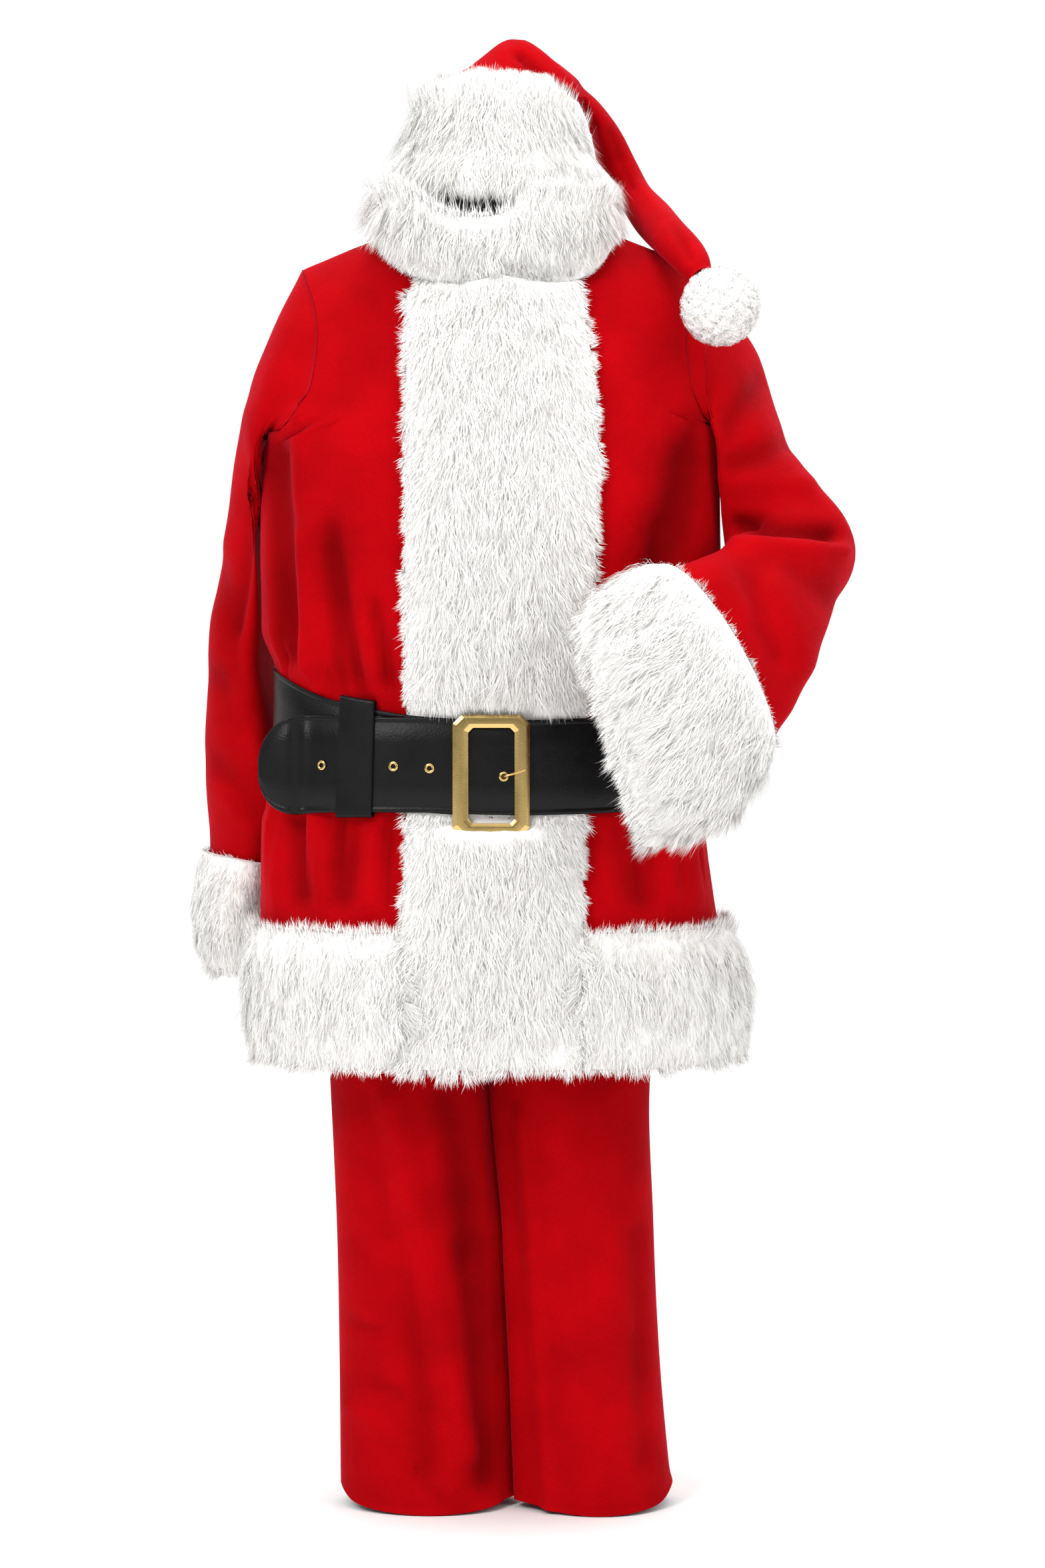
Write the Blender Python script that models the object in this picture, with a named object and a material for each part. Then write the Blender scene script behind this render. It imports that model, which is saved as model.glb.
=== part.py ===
"""Santa suit, worn form with no wearer: hat, fur-trimmed jacket with its belt, and trousers.

Metres, +Z up. The suit faces -Y, so its wearer's right is at -X. Heights in the tables are
measured from the trouser hem, and the origin is inside the neck, where the wearer holds the suit.
A turn is an angle round the body: 0 at the front, 90 degrees at the wearer's left. A level is a
height that rises and falls with the belt's line where the belt gathers the cloth.
"""

from collections import namedtuple

import bmesh
import bpy
import numpy as np

# Heights above the trouser hem
ORIGIN_HEIGHT = 1.450
HEM_FUR_LOW = 0.526
ARMPIT_HEIGHT = 1.233
NECK_POINT_HEIGHT = 1.470
CROTCH_HEIGHT = 0.700
WAIST_LOW, WAIST_HIGH, WAISTBAND_WALL = 0.850, 0.885, 0.003

# Cloth, seams and layers
CLOTH = 0.0025
SEAM = 0.0003
LAYER_GAP = 0.0008
SQUARENESS = 2.4

# Shoulders and neck
NECK_HALF_WIDTH = 0.122
SHOULDER_HALF_WIDTH = 0.228
SHOULDER_SLOPE = 0.40
SHOULDER_ROUND = 0.080
NECK_DROP_FRONT, NECK_DROP_BACK = 0.108, 0.066

# Panel grids
HALF_COLUMNS = 12
NECK_COLUMNS = 7
ARMHOLE_ROWS = 8
BODY_LEVELS = [0.536, 0.590, 0.640, 0.690, 0.735, 0.775, 0.806, 0.835, 0.864, 0.893, 0.922, 0.945,
               0.975, 1.030, 1.100, 1.170, 1.233]
BODY_ROWS = len(BODY_LEVELS) - 1
STRIP_COLUMNS, STRIP_GAP, STRIP_NARROWEST = 3, 0.0014, 0.006
CUFF_GAP = {-1: 0.0026, 1: 0.0011}
HEM_ROWS, HEM_TOP_SHARE = 2, 0.72
HEM_FUR_HIGH, HEM_FUR_EDGE, HEM_FUR_REACH = 0.676, 0.009, 0.025

# Belt and buckle
STRAP_HALF_HEIGHT, STRAP_THICKNESS = 0.054, 0.0035
TAIL_TURN, TAIL_RADIUS, KEEPER_THICKNESS = -82.0, 0.235, 0.0016
BUCKLE_MIDDLE_X, BUCKLE_HEIGHT = -0.011, 0.854
BUCKLE_HALF_WIDTH, BUCKLE_HALF_HEIGHT, BUCKLE_THICKNESS = 0.043, 0.068, 0.004
WINDOW_MIDDLE_X, WINDOW_HALF_WIDTH, WINDOW_HALF_HEIGHT = -0.0105, 0.0255, 0.053
CORNER_CUT = 0.010
BUCKLE_LIFT = 0.0128
EYELETS = ((-0.194, 0.864), (-0.117, 0.864), (-0.078, 0.862), (0.003, 0.853))
FUR_REACH, FUR_EDGE, FUR_PRESSED = 0.020, 0.007, 0.0021

Section = namedtuple("Section", "height middle half_width half_depth shift")
TORSO = [
    Section(0.520, -0.004, 0.268, 0.158, -0.004),
    Section(0.600, -0.006, 0.268, 0.158, -0.004),
    Section(0.700, -0.016, 0.262, 0.154, -0.006),
    Section(0.775, -0.018, 0.2505, 0.1465, -0.009),
    Section(0.808, -0.017, 0.244, 0.144, -0.010),
    Section(0.864, -0.016, 0.242, 0.143, -0.010),
    Section(0.922, -0.015, 0.244, 0.144, -0.010),
    Section(0.965, -0.014, 0.257, 0.154, -0.013),
    Section(1.060, -0.013, 0.263, 0.157, -0.015),
    Section(1.160, -0.013, 0.263, 0.155, -0.014),
    Section(1.233, -0.012, 0.260, 0.148, -0.011),
    Section(1.330, -0.004, 0.252, 0.133, -0.006),
    Section(1.365, 0.000, 0.250, 0.122, -0.004),
    Section(1.400, 0.000, 0.250, 0.112, -0.002),
    Section(1.480, 0.000, 0.250, 0.092, 0.000),
]

Armhole = namedtuple("Armhole", "height distance")
ARMHOLE = [
    Armhole(1.233, 0.262),
    Armhole(1.246, 0.244),
    Armhole(1.272, 0.222),
    Armhole(1.320, 0.209),
    Armhole(1.375, 0.210),
    Armhole(1.428, 0.228),
]

BeltLevel = namedtuple("BeltLevel", "turn height")
BELT_LINE = [
    BeltLevel(-240, 0.900),
    BeltLevel(-180, 0.916),
    BeltLevel(-120, 0.924),
    BeltLevel(-75, 0.914),
    BeltLevel(-40, 0.884),
    BeltLevel(-10, 0.865),
    BeltLevel(20, 0.864),
    BeltLevel(60, 0.872),
    BeltLevel(120, 0.900),
    BeltLevel(180, 0.916),
    BeltLevel(240, 0.924),
]
TAIL_HEIGHT = 0.866
BELT_MIDDLE = 0.864

# Largest folds as seen from the front and, for the back, from the front too: x and height of both ends
Fold = namedtuple("Fold", "x1 height1 x2 height2 width rise")
FRONT_FOLDS = [
    Fold(-0.256, 1.215, -0.238, 0.985, 0.014, -0.012),
    Fold(-0.214, 1.120, -0.208, 0.985, 0.018, 0.007),
    Fold(-0.190, 1.125, -0.168, 0.960, 0.014, -0.008),
    Fold(-0.142, 1.040, -0.130, 0.960, 0.012, -0.007),
    Fold(0.205, 1.210, 0.180, 1.080, 0.022, -0.006),
    Fold(-0.232, 0.795, -0.226, 0.715, 0.015, -0.007),
    Fold(-0.180, 0.800, -0.178, 0.712, 0.014, -0.006),
    Fold(0.150, 0.800, 0.160, 0.712, 0.018, -0.006),
    Fold(0.205, 0.790, 0.218, 0.712, 0.015, 0.005),
]
BACK_FOLDS = [
    Fold(-0.185, 1.150, -0.165, 0.965, 0.018, -0.009),
    Fold(-0.090, 1.090, -0.080, 0.965, 0.016, -0.008),
    Fold(0.010, 1.120, 0.005, 0.965, 0.020, -0.009),
    Fold(0.095, 1.060, 0.090, 0.965, 0.016, -0.007),
    Fold(0.190, 1.170, 0.170, 0.965, 0.018, -0.010),
    Fold(-0.150, 0.840, -0.160, 0.715, 0.018, -0.008),
    Fold(-0.050, 0.840, -0.055, 0.715, 0.018, -0.007),
    Fold(0.060, 0.840, 0.070, 0.715, 0.018, -0.008),
    Fold(0.160, 0.840, 0.175, 0.715, 0.018, -0.007),
]

# Sleeve rings: the outer and inner ends of each ring's long way, and half its thickness
Ring = namedtuple("Ring", "outer_x outer_y outer_z inner_x inner_y inner_z half")
SLEEVE_RIGHT = [
    Ring(-0.228, 0.000, 1.428, -0.266, -0.004, 1.233, 0.100),
    Ring(-0.257, 0.004, 1.372, -0.288, 0.006, 1.208, 0.094),
    Ring(-0.286, 0.016, 1.304, -0.284, 0.030, 1.160, 0.086),
    Ring(-0.303, 0.036, 1.225, -0.268, 0.058, 1.106, 0.078),
    Ring(-0.318, 0.054, 1.125, -0.256, 0.082, 1.046, 0.070),
    Ring(-0.338, 0.066, 1.026, -0.251, 0.098, 0.985, 0.066),
    Ring(-0.345, 0.074, 0.930, -0.246, 0.104, 0.900, 0.066),
    Ring(-0.345, 0.088, 0.840, -0.250, 0.124, 0.820, 0.066),
    Ring(-0.339, 0.104, 0.755, -0.258, 0.144, 0.745, 0.064),
    Ring(-0.338, 0.114, 0.690, -0.262, 0.156, 0.682, 0.062),
    Ring(-0.338, 0.118, 0.622, -0.264, 0.160, 0.616, 0.062),
]
SLEEVE_LEFT = [
    Ring(0.228, 0.000, 1.428, 0.254, -0.004, 1.233, 0.100),
    Ring(0.258, -0.002, 1.378, 0.266, 0.008, 1.198, 0.092),
    Ring(0.290, -0.006, 1.310, 0.272, 0.006, 1.168, 0.086),
    Ring(0.326, -0.010, 1.236, 0.272, -0.008, 1.140, 0.080),
    Ring(0.368, -0.020, 1.165, 0.270, -0.040, 1.118, 0.074),
    Ring(0.402, -0.050, 1.098, 0.258, -0.086, 1.102, 0.068),
    Ring(0.372, -0.116, 1.036, 0.236, -0.146, 1.096, 0.062),
    Ring(0.334, -0.174, 0.962, 0.212, -0.198, 1.092, 0.056),
    Ring(0.292, -0.222, 0.888, 0.182, -0.242, 1.082, 0.051),
    Ring(0.240, -0.252, 0.830, 0.144, -0.262, 1.062, 0.048),
    Ring(0.180, -0.256, 0.794, 0.104, -0.258, 1.036, 0.046),
]
RING_POINTS_HALF = ARMHOLE_ROWS
CUFF_START = {-1: 0.80, 1: 0.80}

# Legs: the middle and half width of each leg, the shared half depth and shift
Leg = namedtuple("Leg", "height middle half_width half_depth shift")
LEG_RIGHT = [
    Leg(0.000, -0.0845, 0.1035, 0.078, 0.010),
    Leg(0.150, -0.0880, 0.1010, 0.078, 0.010),
    Leg(0.330, -0.0935, 0.0985, 0.079, 0.008),
    Leg(0.520, -0.1040, 0.0960, 0.084, 0.002),
    Leg(0.640, -0.1030, 0.1010, 0.104, -0.002),
    Leg(0.700, -0.0940, 0.1160, 0.118, -0.004),
    Leg(0.760, -0.0500, 0.1700, 0.128, -0.006),
    Leg(0.820, -0.0200, 0.2120, 0.135, -0.009),
    Leg(0.860, -0.0160, 0.2388, 0.1398, -0.010),
]
LEG_LEFT = [
    Leg(0.000, 0.1100, 0.0890, 0.078, 0.006),
    Leg(0.150, 0.1005, 0.0845, 0.078, 0.006),
    Leg(0.330, 0.0920, 0.0840, 0.079, 0.004),
    Leg(0.520, 0.0840, 0.0895, 0.084, 0.000),
    Leg(0.640, 0.0960, 0.0975, 0.104, -0.002),
    Leg(0.700, 0.0800, 0.1140, 0.118, -0.004),
    Leg(0.760, 0.0300, 0.1640, 0.128, -0.006),
    Leg(0.820, -0.0080, 0.2060, 0.135, -0.009),
    Leg(0.860, -0.0160, 0.2388, 0.1398, -0.010),
]
Division = namedtuple("Division", "height x")
LEG_DIVISION = [
    Division(0.000, 0.0205),
    Division(0.150, 0.0145),
    Division(0.330, 0.0065),
    Division(0.520, -0.0070),
    Division(0.640, -0.0015),
    Division(0.700, 0.0000),
    Division(0.860, 0.0000),
]

# Hat band: outer size of the fur, and crown rings by their two ends as seen from the front
Band = namedtuple("Band", "rise middle half_width half_depth wall")
HAT_BAND_LOW, HAT_BAND_HEIGHT = 1.5054, 0.144
HAT_BAND = [
    Band(0.00, -0.009, 0.134, 0.112, 0.020),
    Band(0.10, -0.006, 0.143, 0.120, 0.028),
    Band(0.25, -0.005, 0.137, 0.118, 0.030),
    Band(0.42, -0.004, 0.118, 0.106, 0.026),
    Band(0.66, -0.003, 0.103, 0.095, 0.022),
    Band(0.88, -0.002, 0.094, 0.088, 0.018),
    Band(1.00, -0.002, 0.082, 0.078, 0.008),
]
HatRing = namedtuple("HatRing", "left_x left_z right_x right_z y half")
HAT_CROWN = [
    HatRing(-0.076, 1.600, 0.072, 1.600, 0.000, 0.068),
    HatRing(-0.068, 1.640, 0.072, 1.640, 0.000, 0.062),
    HatRing(-0.038, 1.658, 0.082, 1.632, 0.008, 0.058),
    HatRing(0.010, 1.693, 0.092, 1.622, 0.020, 0.044),
    HatRing(0.056, 1.670, 0.101, 1.618, 0.050, 0.043),
    HatRing(0.096, 1.643, 0.106, 1.596, 0.082, 0.040),
    HatRing(0.134, 1.603, 0.112, 1.560, 0.098, 0.035),
    HatRing(0.158, 1.560, 0.122, 1.536, 0.098, 0.031),
    HatRing(0.176, 1.524, 0.140, 1.506, 0.074, 0.027),
    HatRing(0.200, 1.492, 0.156, 1.474, 0.016, 0.023),
    HatRing(0.218, 1.462, 0.175, 1.444, -0.060, 0.020),
    HatRing(0.231, 1.437, 0.196, 1.419, -0.100, 0.016),
    HatRing(0.2355, 1.416, 0.2140, 1.4044, -0.1240, 0.011),
]
# Shares of the crown's length where the peak ends and where the hanging tail starts
CROWN_PEAK_END, TAIL_START = 0.40, 0.60
POMPOM_PLACE = (0.2437, -0.1484, 1.3749)
POMPOM_CORE, POMPOM_TIP, POMPOM_CUTS = 0.038, 0.046, 5

# The collar's height at the top, its wall, the slit's depth and the lean to the wearer's right
COLLAR_TOP, COLLAR_WALL, COLLAR_SLIT, COLLAR_LEAN = 1.5050, 0.030, 0.012, 0.006

# Materials: colour, roughness, metallic
RED_VELOUR = ("red_velour", (0.56, 0.004, 0.010), 0.80, 0.0)
WHITE_FUR = ("white_fur", (0.86, 0.84, 0.81), 0.90, 0.0)
BLACK_STRAP = ("black_strap", (0.016, 0.016, 0.018), 0.45, 0.0)
GOLD = ("polished_gold", (0.80, 0.58, 0.22), 0.18, 1.0)


def clear_scene():
    for item in list(bpy.data.objects):
        bpy.data.objects.remove(item, do_unlink=True)


def material(finish):
    name, colour, roughness, metallic = finish
    made = bpy.data.materials.get(name)
    if made is None:
        made = bpy.data.materials.new(name)
        made.use_nodes = True
        shader = made.node_tree.nodes["Principled BSDF"]
        shader.inputs["Base Color"].default_value = (*colour, 1.0)
        shader.inputs["Roughness"].default_value = roughness
        shader.inputs["Metallic"].default_value = metallic
    return made


def add_solid(name, points, faces, finish):
    """One object from points with heights above the trouser hem, its faces turned outwards."""
    placed = np.asarray(points, float).reshape(-1, 3) - (0.0, 0.0, ORIGIN_HEIGHT)
    mesh = bpy.data.meshes.new(name)
    mesh.from_pydata(placed.tolist(), [], [list(map(int, face)) for face in faces])
    work = bmesh.new()
    work.from_mesh(mesh)
    bmesh.ops.recalc_face_normals(work, faces=work.faces)
    if work.calc_volume(signed=True) < 0:
        bmesh.ops.reverse_faces(work, faces=work.faces)
    work.to_mesh(mesh)
    work.free()
    mesh.shade_smooth()
    mesh.set_sharp_from_angle(angle=np.radians(40))
    mesh.materials.append(material(finish))
    solid = bpy.data.objects.new(name, mesh)
    bpy.context.scene.collection.objects.link(solid)
    return solid


def quads(grid):
    """The faces between neighbours of a grid of point numbers."""
    return np.stack([grid[:-1, :-1], grid[:-1, 1:], grid[1:, 1:], grid[1:, :-1]], -1).reshape(-1, 4)


def add_wall(name, outer, inner, finish, around=False):
    """A closed wall between two grids of points. Around, its last column joins its first."""
    rows, columns = outer.shape[:2]
    first = np.arange(rows * columns).reshape(rows, columns)
    second = first + rows * columns
    if around:
        first, second = (np.hstack([grid, grid[:, :1]]) for grid in (first, second))
    faces = [quads(first), quads(second)[:, ::-1]]
    rims = [(first[0], second[0]), (second[-1], first[-1])]
    if not around:
        rims += [(second[:, 0], first[:, 0]), (first[:, -1], second[:, -1])]
    faces += [quads(np.array(rim)) for rim in rims]
    return add_solid(name, np.concatenate([outer.reshape(-1, 3), inner.reshape(-1, 3)]),
                     np.concatenate(faces), finish)


def read(rows, column, at):
    """A column of a table at the given places, on a smooth curve through the table's rows."""
    places = np.array([row[0] for row in rows], float)
    values = np.array([getattr(row, column) for row in rows], float)
    slopes = np.gradient(values, places)
    left = np.clip(np.searchsorted(places, at) - 1, 0, len(rows) - 2)
    span = places[left + 1] - places[left]
    t = np.clip((at - places[left]) / span, 0.0, 1.0)
    start, end = values[left], values[left + 1]
    return (start * (1 + 2 * t) * (1 - t) ** 2 + end * t * t * (3 - 2 * t)
            + span * (slopes[left] * t * (1 - t) ** 2 - slopes[left + 1] * t * t * (1 - t)))


def read_along(rows, column, share):
    """A column of a table whose rows follow a path, at shares 0 to 1 of the way."""
    values = np.array([getattr(row, column) for row in rows], float)
    Step = namedtuple("Step", "place value")
    return read([Step(i, value) for i, value in enumerate(values)], "value", share * (len(rows) - 1))


def ease(t):
    t = np.clip(t, 0.0, 1.0)
    return t * t * (3 - 2 * t)


def power(value, exponent):
    return np.sign(value) * np.abs(value) ** exponent


def unit(vectors):
    return vectors / np.maximum(np.linalg.norm(vectors, axis=-1, keepdims=True), 1e-9)


def shoulder_line(x):
    return NECK_POINT_HEIGHT - SHOULDER_SLOPE * (np.abs(x) - NECK_HALF_WIDTH)


def belt_line(turn):
    """Height of the strap's middle at a turn."""
    wrapped = (np.degrees(turn) + 180) % 360 - 180
    return read(BELT_LINE, "height", wrapped)


def belt_rise(turn, level):
    """How far the belt's line carries a level up or down at a turn."""
    return (belt_line(turn) - BELT_MIDDLE) * np.exp(-(((level - BELT_MIDDLE) / 0.13) ** 4))


def torso(turn, level):
    """The jacket's surface: a squared oval at each level, pulled in along the belt's line.

    Above the armpits it is rounded over towards the shoulder line.
    """
    height = level + belt_rise(turn, level)
    x = read(TORSO, "middle", level) + read(TORSO, "half_width", level) * power(np.sin(turn), 2 / SQUARENESS)
    fall = np.clip((shoulder_line(x) - height) / SHOULDER_ROUND, 0.0, 1.0)
    rounding = np.sqrt(1 - (1 - fall) ** 2)
    depth = read(TORSO, "half_depth", level) * power(np.cos(turn), 2 / SQUARENESS)
    y = (read(TORSO, "shift", level) - depth) * rounding
    return np.stack(np.broadcast_arrays(x, y, height), -1)


def torso_lifted(turn, level, lift):
    """The torso's surface moved out along its normal."""
    turn, level, lift = np.broadcast_arrays(turn, level, lift)
    step_turn, step_level = 0.004, 0.002
    across = torso(turn + step_turn, level) - torso(turn - step_turn, level)
    up = torso(turn, level + step_level) - torso(turn, level - step_level)
    return torso(turn, level) + unit(np.cross(across, up)) * lift[..., None]


def turn_at(x, level):
    """The front turn whose point on the torso lies at x."""
    share = (x - read(TORSO, "middle", level)) / read(TORSO, "half_width", level)
    return np.arcsin(power(np.clip(share, -1, 1), SQUARENESS / 2))


def relief(folds, x, height, turn):
    """Height of the folds: a soft ridge or trough along each fold's line, flat at belt, fur and side seams."""
    total = np.zeros(np.shape(x))
    for fold in folds:
        ends = np.array([fold.x2 - fold.x1, fold.height2 - fold.height1])
        along = ((x - fold.x1) * ends[0] + (height - fold.height1) * ends[1]) / (ends @ ends)
        along = np.clip(along, 0, 1)
        away = np.hypot(x - fold.x1 - along * ends[0], height - fold.height1 - along * ends[1])
        total += fold.rise * np.exp(-((away / fold.width) ** 2))
    to_side = np.abs(np.abs(np.degrees(turn)) - 90)
    belt = np.exp(-(((height - belt_line(turn)) / 0.068) ** 4))
    return total * ease(to_side / 10) * (1 - belt) * ease((height - 0.690) / 0.03)


def panel_point(side, face, u, v):
    """A point of a jacket half: u from its centre line to side seam and armhole, v from hem to shoulder.

    side is -1 on the wearer's right and 1 on the left; face is 1 at the front and -1 at the back.
    """
    body_share = BODY_ROWS / (BODY_ROWS + ARMHOLE_ROWS)
    tip = shoulder_line(SHOULDER_HALF_WIDTH)
    climb = np.sin(np.radians(90) * np.clip((v - body_share) / (1 - body_share), 0, 1))
    below = np.clip(v / body_share, 0, 1) * BODY_ROWS
    edge = np.interp(below, np.arange(BODY_ROWS + 1), BODY_LEVELS) + (tip - ARMPIT_HEIGHT) * climb
    reach = side * read(ARMHOLE, "distance", edge) - read(TORSO, "middle", edge)
    share = np.clip(np.abs(reach) / read(TORSO, "half_width", edge), 0, 1)
    edge_turn = np.where(climb > 0, np.arcsin(share ** (SQUARENESS / 2)), np.radians(90))
    neck_share = NECK_COLUMNS / HALF_COLUMNS
    neck_angle = np.radians(90) * (1 - (1 - np.clip(u / neck_share, 0, 1)) ** 1.5)
    past_neck = (SHOULDER_HALF_WIDTH - NECK_HALF_WIDTH) * (u - neck_share) / (1 - neck_share)
    top_x = np.where(u < neck_share, NECK_HALF_WIDTH * np.sin(neck_angle), NECK_HALF_WIDTH + past_neck)
    drop = NECK_DROP_FRONT if face > 0 else NECK_DROP_BACK
    scoop = drop * np.sqrt(np.clip(1 - (top_x / NECK_HALF_WIDTH) ** 2, 0, 1))
    top_height = shoulder_line(top_x) - scoop
    top_turn = np.arcsin(np.clip(top_x / 0.250, 0, 1) ** (SQUARENESS / 2))
    tip_turn = np.arcsin((SHOULDER_HALF_WIDTH / 0.250) ** (SQUARENESS / 2))
    upper = ease((v - 0.45) / 0.55)
    turn = (1 - upper) * u * edge_turn + upper * top_turn * edge_turn / tip_turn
    height = edge + upper * (top_height - tip)
    turn = side * turn if face > 0 else side * (np.pi - turn)
    return torso(turn, height), turn


def panel_grids(side, face):
    """Outer and inner points of a jacket half, from its centre line (column 0) outwards."""
    u = np.linspace(0, 1, HALF_COLUMNS + 1)[None, :]
    v = np.linspace(0, 1, BODY_ROWS + ARMHOLE_ROWS + 1)[:, None]
    u, v = np.broadcast_arrays(u, v)
    base, turn = panel_point(side, face, u, v)
    tiny = 1e-3
    across = (panel_point(side, face, np.minimum(u + tiny, 1), v)[0]
              - panel_point(side, face, np.maximum(u - tiny, 0), v)[0])
    up = (panel_point(side, face, u, np.minimum(v + tiny, 1))[0]
          - panel_point(side, face, u, np.maximum(v - tiny, 0))[0])
    normal = unit(np.cross(across, up)) * side * face
    raised = relief(FRONT_FOLDS if face > 0 else BACK_FOLDS, base[..., 0], base[..., 2], turn)
    return base + normal * raised[..., None], base + normal * (raised - CLOTH)[..., None]


def trim(outer, inner, edge):
    """Both grids with one edge moved back by half a seam: first, last (columns) or top (row)."""
    outer, inner = outer.copy(), inner.copy()
    here, beside = {"first": (np.s_[:, 0], np.s_[:, 1]), "last": (np.s_[:, -1], np.s_[:, -2]),
                    "top": (np.s_[-1], np.s_[-2])}[edge]
    back = unit(outer[beside] - outer[here]) * SEAM / 2
    outer[here] += back
    inner[here] += back
    return outer, inner


def jacket_panels():
    for side, name in ((-1, "jacket_front_right"), (1, "jacket_front_left")):
        grids = panel_grids(side, 1)
        for edge in ("first", "last", "top"):
            grids = trim(*grids, edge)
        add_wall(name, *grids, RED_VELOUR)
    right, left = panel_grids(-1, -1), panel_grids(1, -1)
    grids = [np.concatenate([a[:, ::-1], b[:, 1:]], 1) for a, b in zip(right, left)]
    for edge in ("first", "last", "top"):
        grids = trim(*grids, edge)
    add_wall("jacket_back", *grids, RED_VELOUR)


def armhole_loop(side):
    """Outer and inner points round the armhole, from the armpit up the front and down the back."""
    loops = []
    for layer in (0, 1):
        halves = []
        for face in (1, -1):
            grids = panel_grids(side, face)
            edge = grids[layer][BODY_ROWS:, -1]
            outwards = unit(grids[0][BODY_ROWS:, -1] - grids[0][BODY_ROWS:, -2])
            halves.append(edge + outwards * SEAM)
        halves[0][-1] = halves[1][-1] = (halves[0][-1] + halves[1][-1]) / 2
        halves[0][0] = halves[1][0] = (halves[0][0] + halves[1][0]) / 2
        loops.append(np.concatenate([halves[0], halves[1][-2:0:-1]]))
    return loops


def ring_points(rows, share, angle, side):
    """Points of the sleeve's ovals: angle 0 at the outer end, 90 degrees at the front, 180 at the inner end."""
    ends = {}
    for end in ("outer", "inner"):
        ends[end] = np.stack([read_along(rows, f"{end}_{axis}", share) for axis in "xyz"], -1)
    middle = (ends["outer"] + ends["inner"]) / 2
    long_way = (ends["outer"] - ends["inner"]) / 2
    path = unit(np.gradient(middle, axis=0))
    path[0] = path[1]
    if side > 0:
        thick_way = unit(np.cross(long_way, path))
        thick_way *= np.where(thick_way[:, 1:2] > 0, -1, 1)
    else:
        front = np.array([0.0, -1.0, 0.0])
        thick_way = unit(front - unit(long_way) * (unit(long_way) @ front)[:, None])
    thick_way *= read_along(rows, "half", share)[:, None]
    cosine, sine = np.cos(angle)[None, :, None], np.sin(angle)[None, :, None]
    return middle[:, None] + long_way[:, None] * cosine + thick_way[:, None] * sine


def clear_of_jacket(points, side, amount, armhole):
    """Points inside the jacket's side moved out past it, as a sleeve lies against the body."""
    x, y, height = points[..., 0], points[..., 1], points[..., 2]
    fur = 0.012 * ease((0.780 - height) / 0.03) + 0.024 * ease((0.715 - height) / 0.03)
    belt = 0.009 * np.exp(-(((height - 0.915) / 0.075) ** 4))
    room = 0.006 + fur + belt
    deep = np.abs(y - read(TORSO, "shift", height)) / (read(TORSO, "half_depth", height) + room)
    oval = np.clip(1 - deep ** SQUARENESS, 0, 1) ** (1 / SQUARENESS)
    reach = side * read(TORSO, "middle", height) + (read(TORSO, "half_width", height) + room) * oval
    front = armhole[:ARMHOLE_ROWS + 1]
    at_armhole = np.interp(height, front[:, 2], side * front[:, 0]) + 0.007
    reach = np.where(height > ARMPIT_HEIGHT, np.minimum(reach, at_armhole), reach)
    limit = np.where(deep < 1, reach, -1.0)
    moved = points.copy()
    moved[..., 0] = np.where(side * x < limit, x + amount * (side * limit - x), x)
    return moved


def sleeve_grids(side, stations=21):
    rows = SLEEVE_RIGHT if side < 0 else SLEEVE_LEFT
    share = np.linspace(0, 1, stations)
    half = RING_POINTS_HALF
    steps = np.arange(half + 1)
    front = np.pi * (1 - steps / half)
    angle = np.concatenate([front, -front[-2:0:-1]])
    points = ring_points(rows, share, angle, side)
    loop_outer, loop_inner = armhole_loop(side)
    fade = np.clip(1 - share / 0.25, 0, 1)[:, None, None] ** 1.5
    points = points + (loop_outer - points[0])[None] * fade
    amount = ease(share / 0.04)[:, None]
    points = clear_of_jacket(points, side, amount, loop_outer)
    around = np.roll(points, -1, 1) - np.roll(points, 1, 1)
    along = np.gradient(points, axis=0)
    normal = unit(np.cross(around, along))
    middle = points.mean(1, keepdims=True)
    if ((points - middle) * normal).sum() < 0:
        normal = -normal
    inner = points - normal * CLOTH
    points[0], inner[0] = loop_outer, loop_inner
    return points, inner, normal, share


def rounded(share):
    """A profile that is 0 at both edges and 1 between them."""
    return np.clip(1 - np.abs(2 * share - 1) ** 3, 0, 1)


def lumps(a, b):
    """Small uneven rises of the fur, between -1 and 1."""
    return (np.sin(5.3 * a + 1.7 * b) + np.sin(9.1 * a - 3.1 * b + 0.8) + np.sin(2.9 * a + 6.7 * b + 2.1)) / 3


def sleeves_and_cuffs():
    for side, name in ((-1, "right"), (1, "left")):
        outer, inner, normal, share = sleeve_grids(side)
        add_wall(f"sleeve_{name}", outer, inner, RED_VELOUR, around=True)
        start = int(np.argmax(share >= CUFF_START[side] - 1e-6))
        ring, out = outer[start:], normal[start:]
        part = np.linspace(0, 1, len(ring))[:, None]
        angle = np.arange(ring.shape[1])[None, :]
        reach = FUR_EDGE + (FUR_REACH - FUR_EDGE) * rounded(part) + 0.002 * lumps(angle, 4 * part)
        if side < 0:
            inwards = np.linspace(-1, 1, 2 * RING_POINTS_HALF, endpoint=False)[None, :]
            reach = reach * (0.8 - 0.4 * np.clip(2 * np.abs(inwards) - 1, 0, 1))
        end = unit(ring[-1] - ring[-2]) * 0.006
        cuff_inner = ring + out * CUFF_GAP[side]
        cuff_outer = ring + out * (CUFF_GAP[side] + reach[..., None])
        cuff_inner[-1] += end
        cuff_outer[-1] += end
        add_wall(f"cuff_fur_{name}", cuff_outer, cuff_inner, WHITE_FUR, around=True)


def strip_edges(height):
    """Left and right edge of the front fur strip, as x."""
    right = np.interp(height, [0.52, 0.68, 0.80, 1.07, 1.20, 1.28, 1.36, 1.42],
                      [0.086, 0.090, 0.095, 0.106, 0.112, 0.108, 0.096, 0.090])
    return np.interp(height, [1.36, 1.42], [-0.110, -0.092]), right


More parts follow.
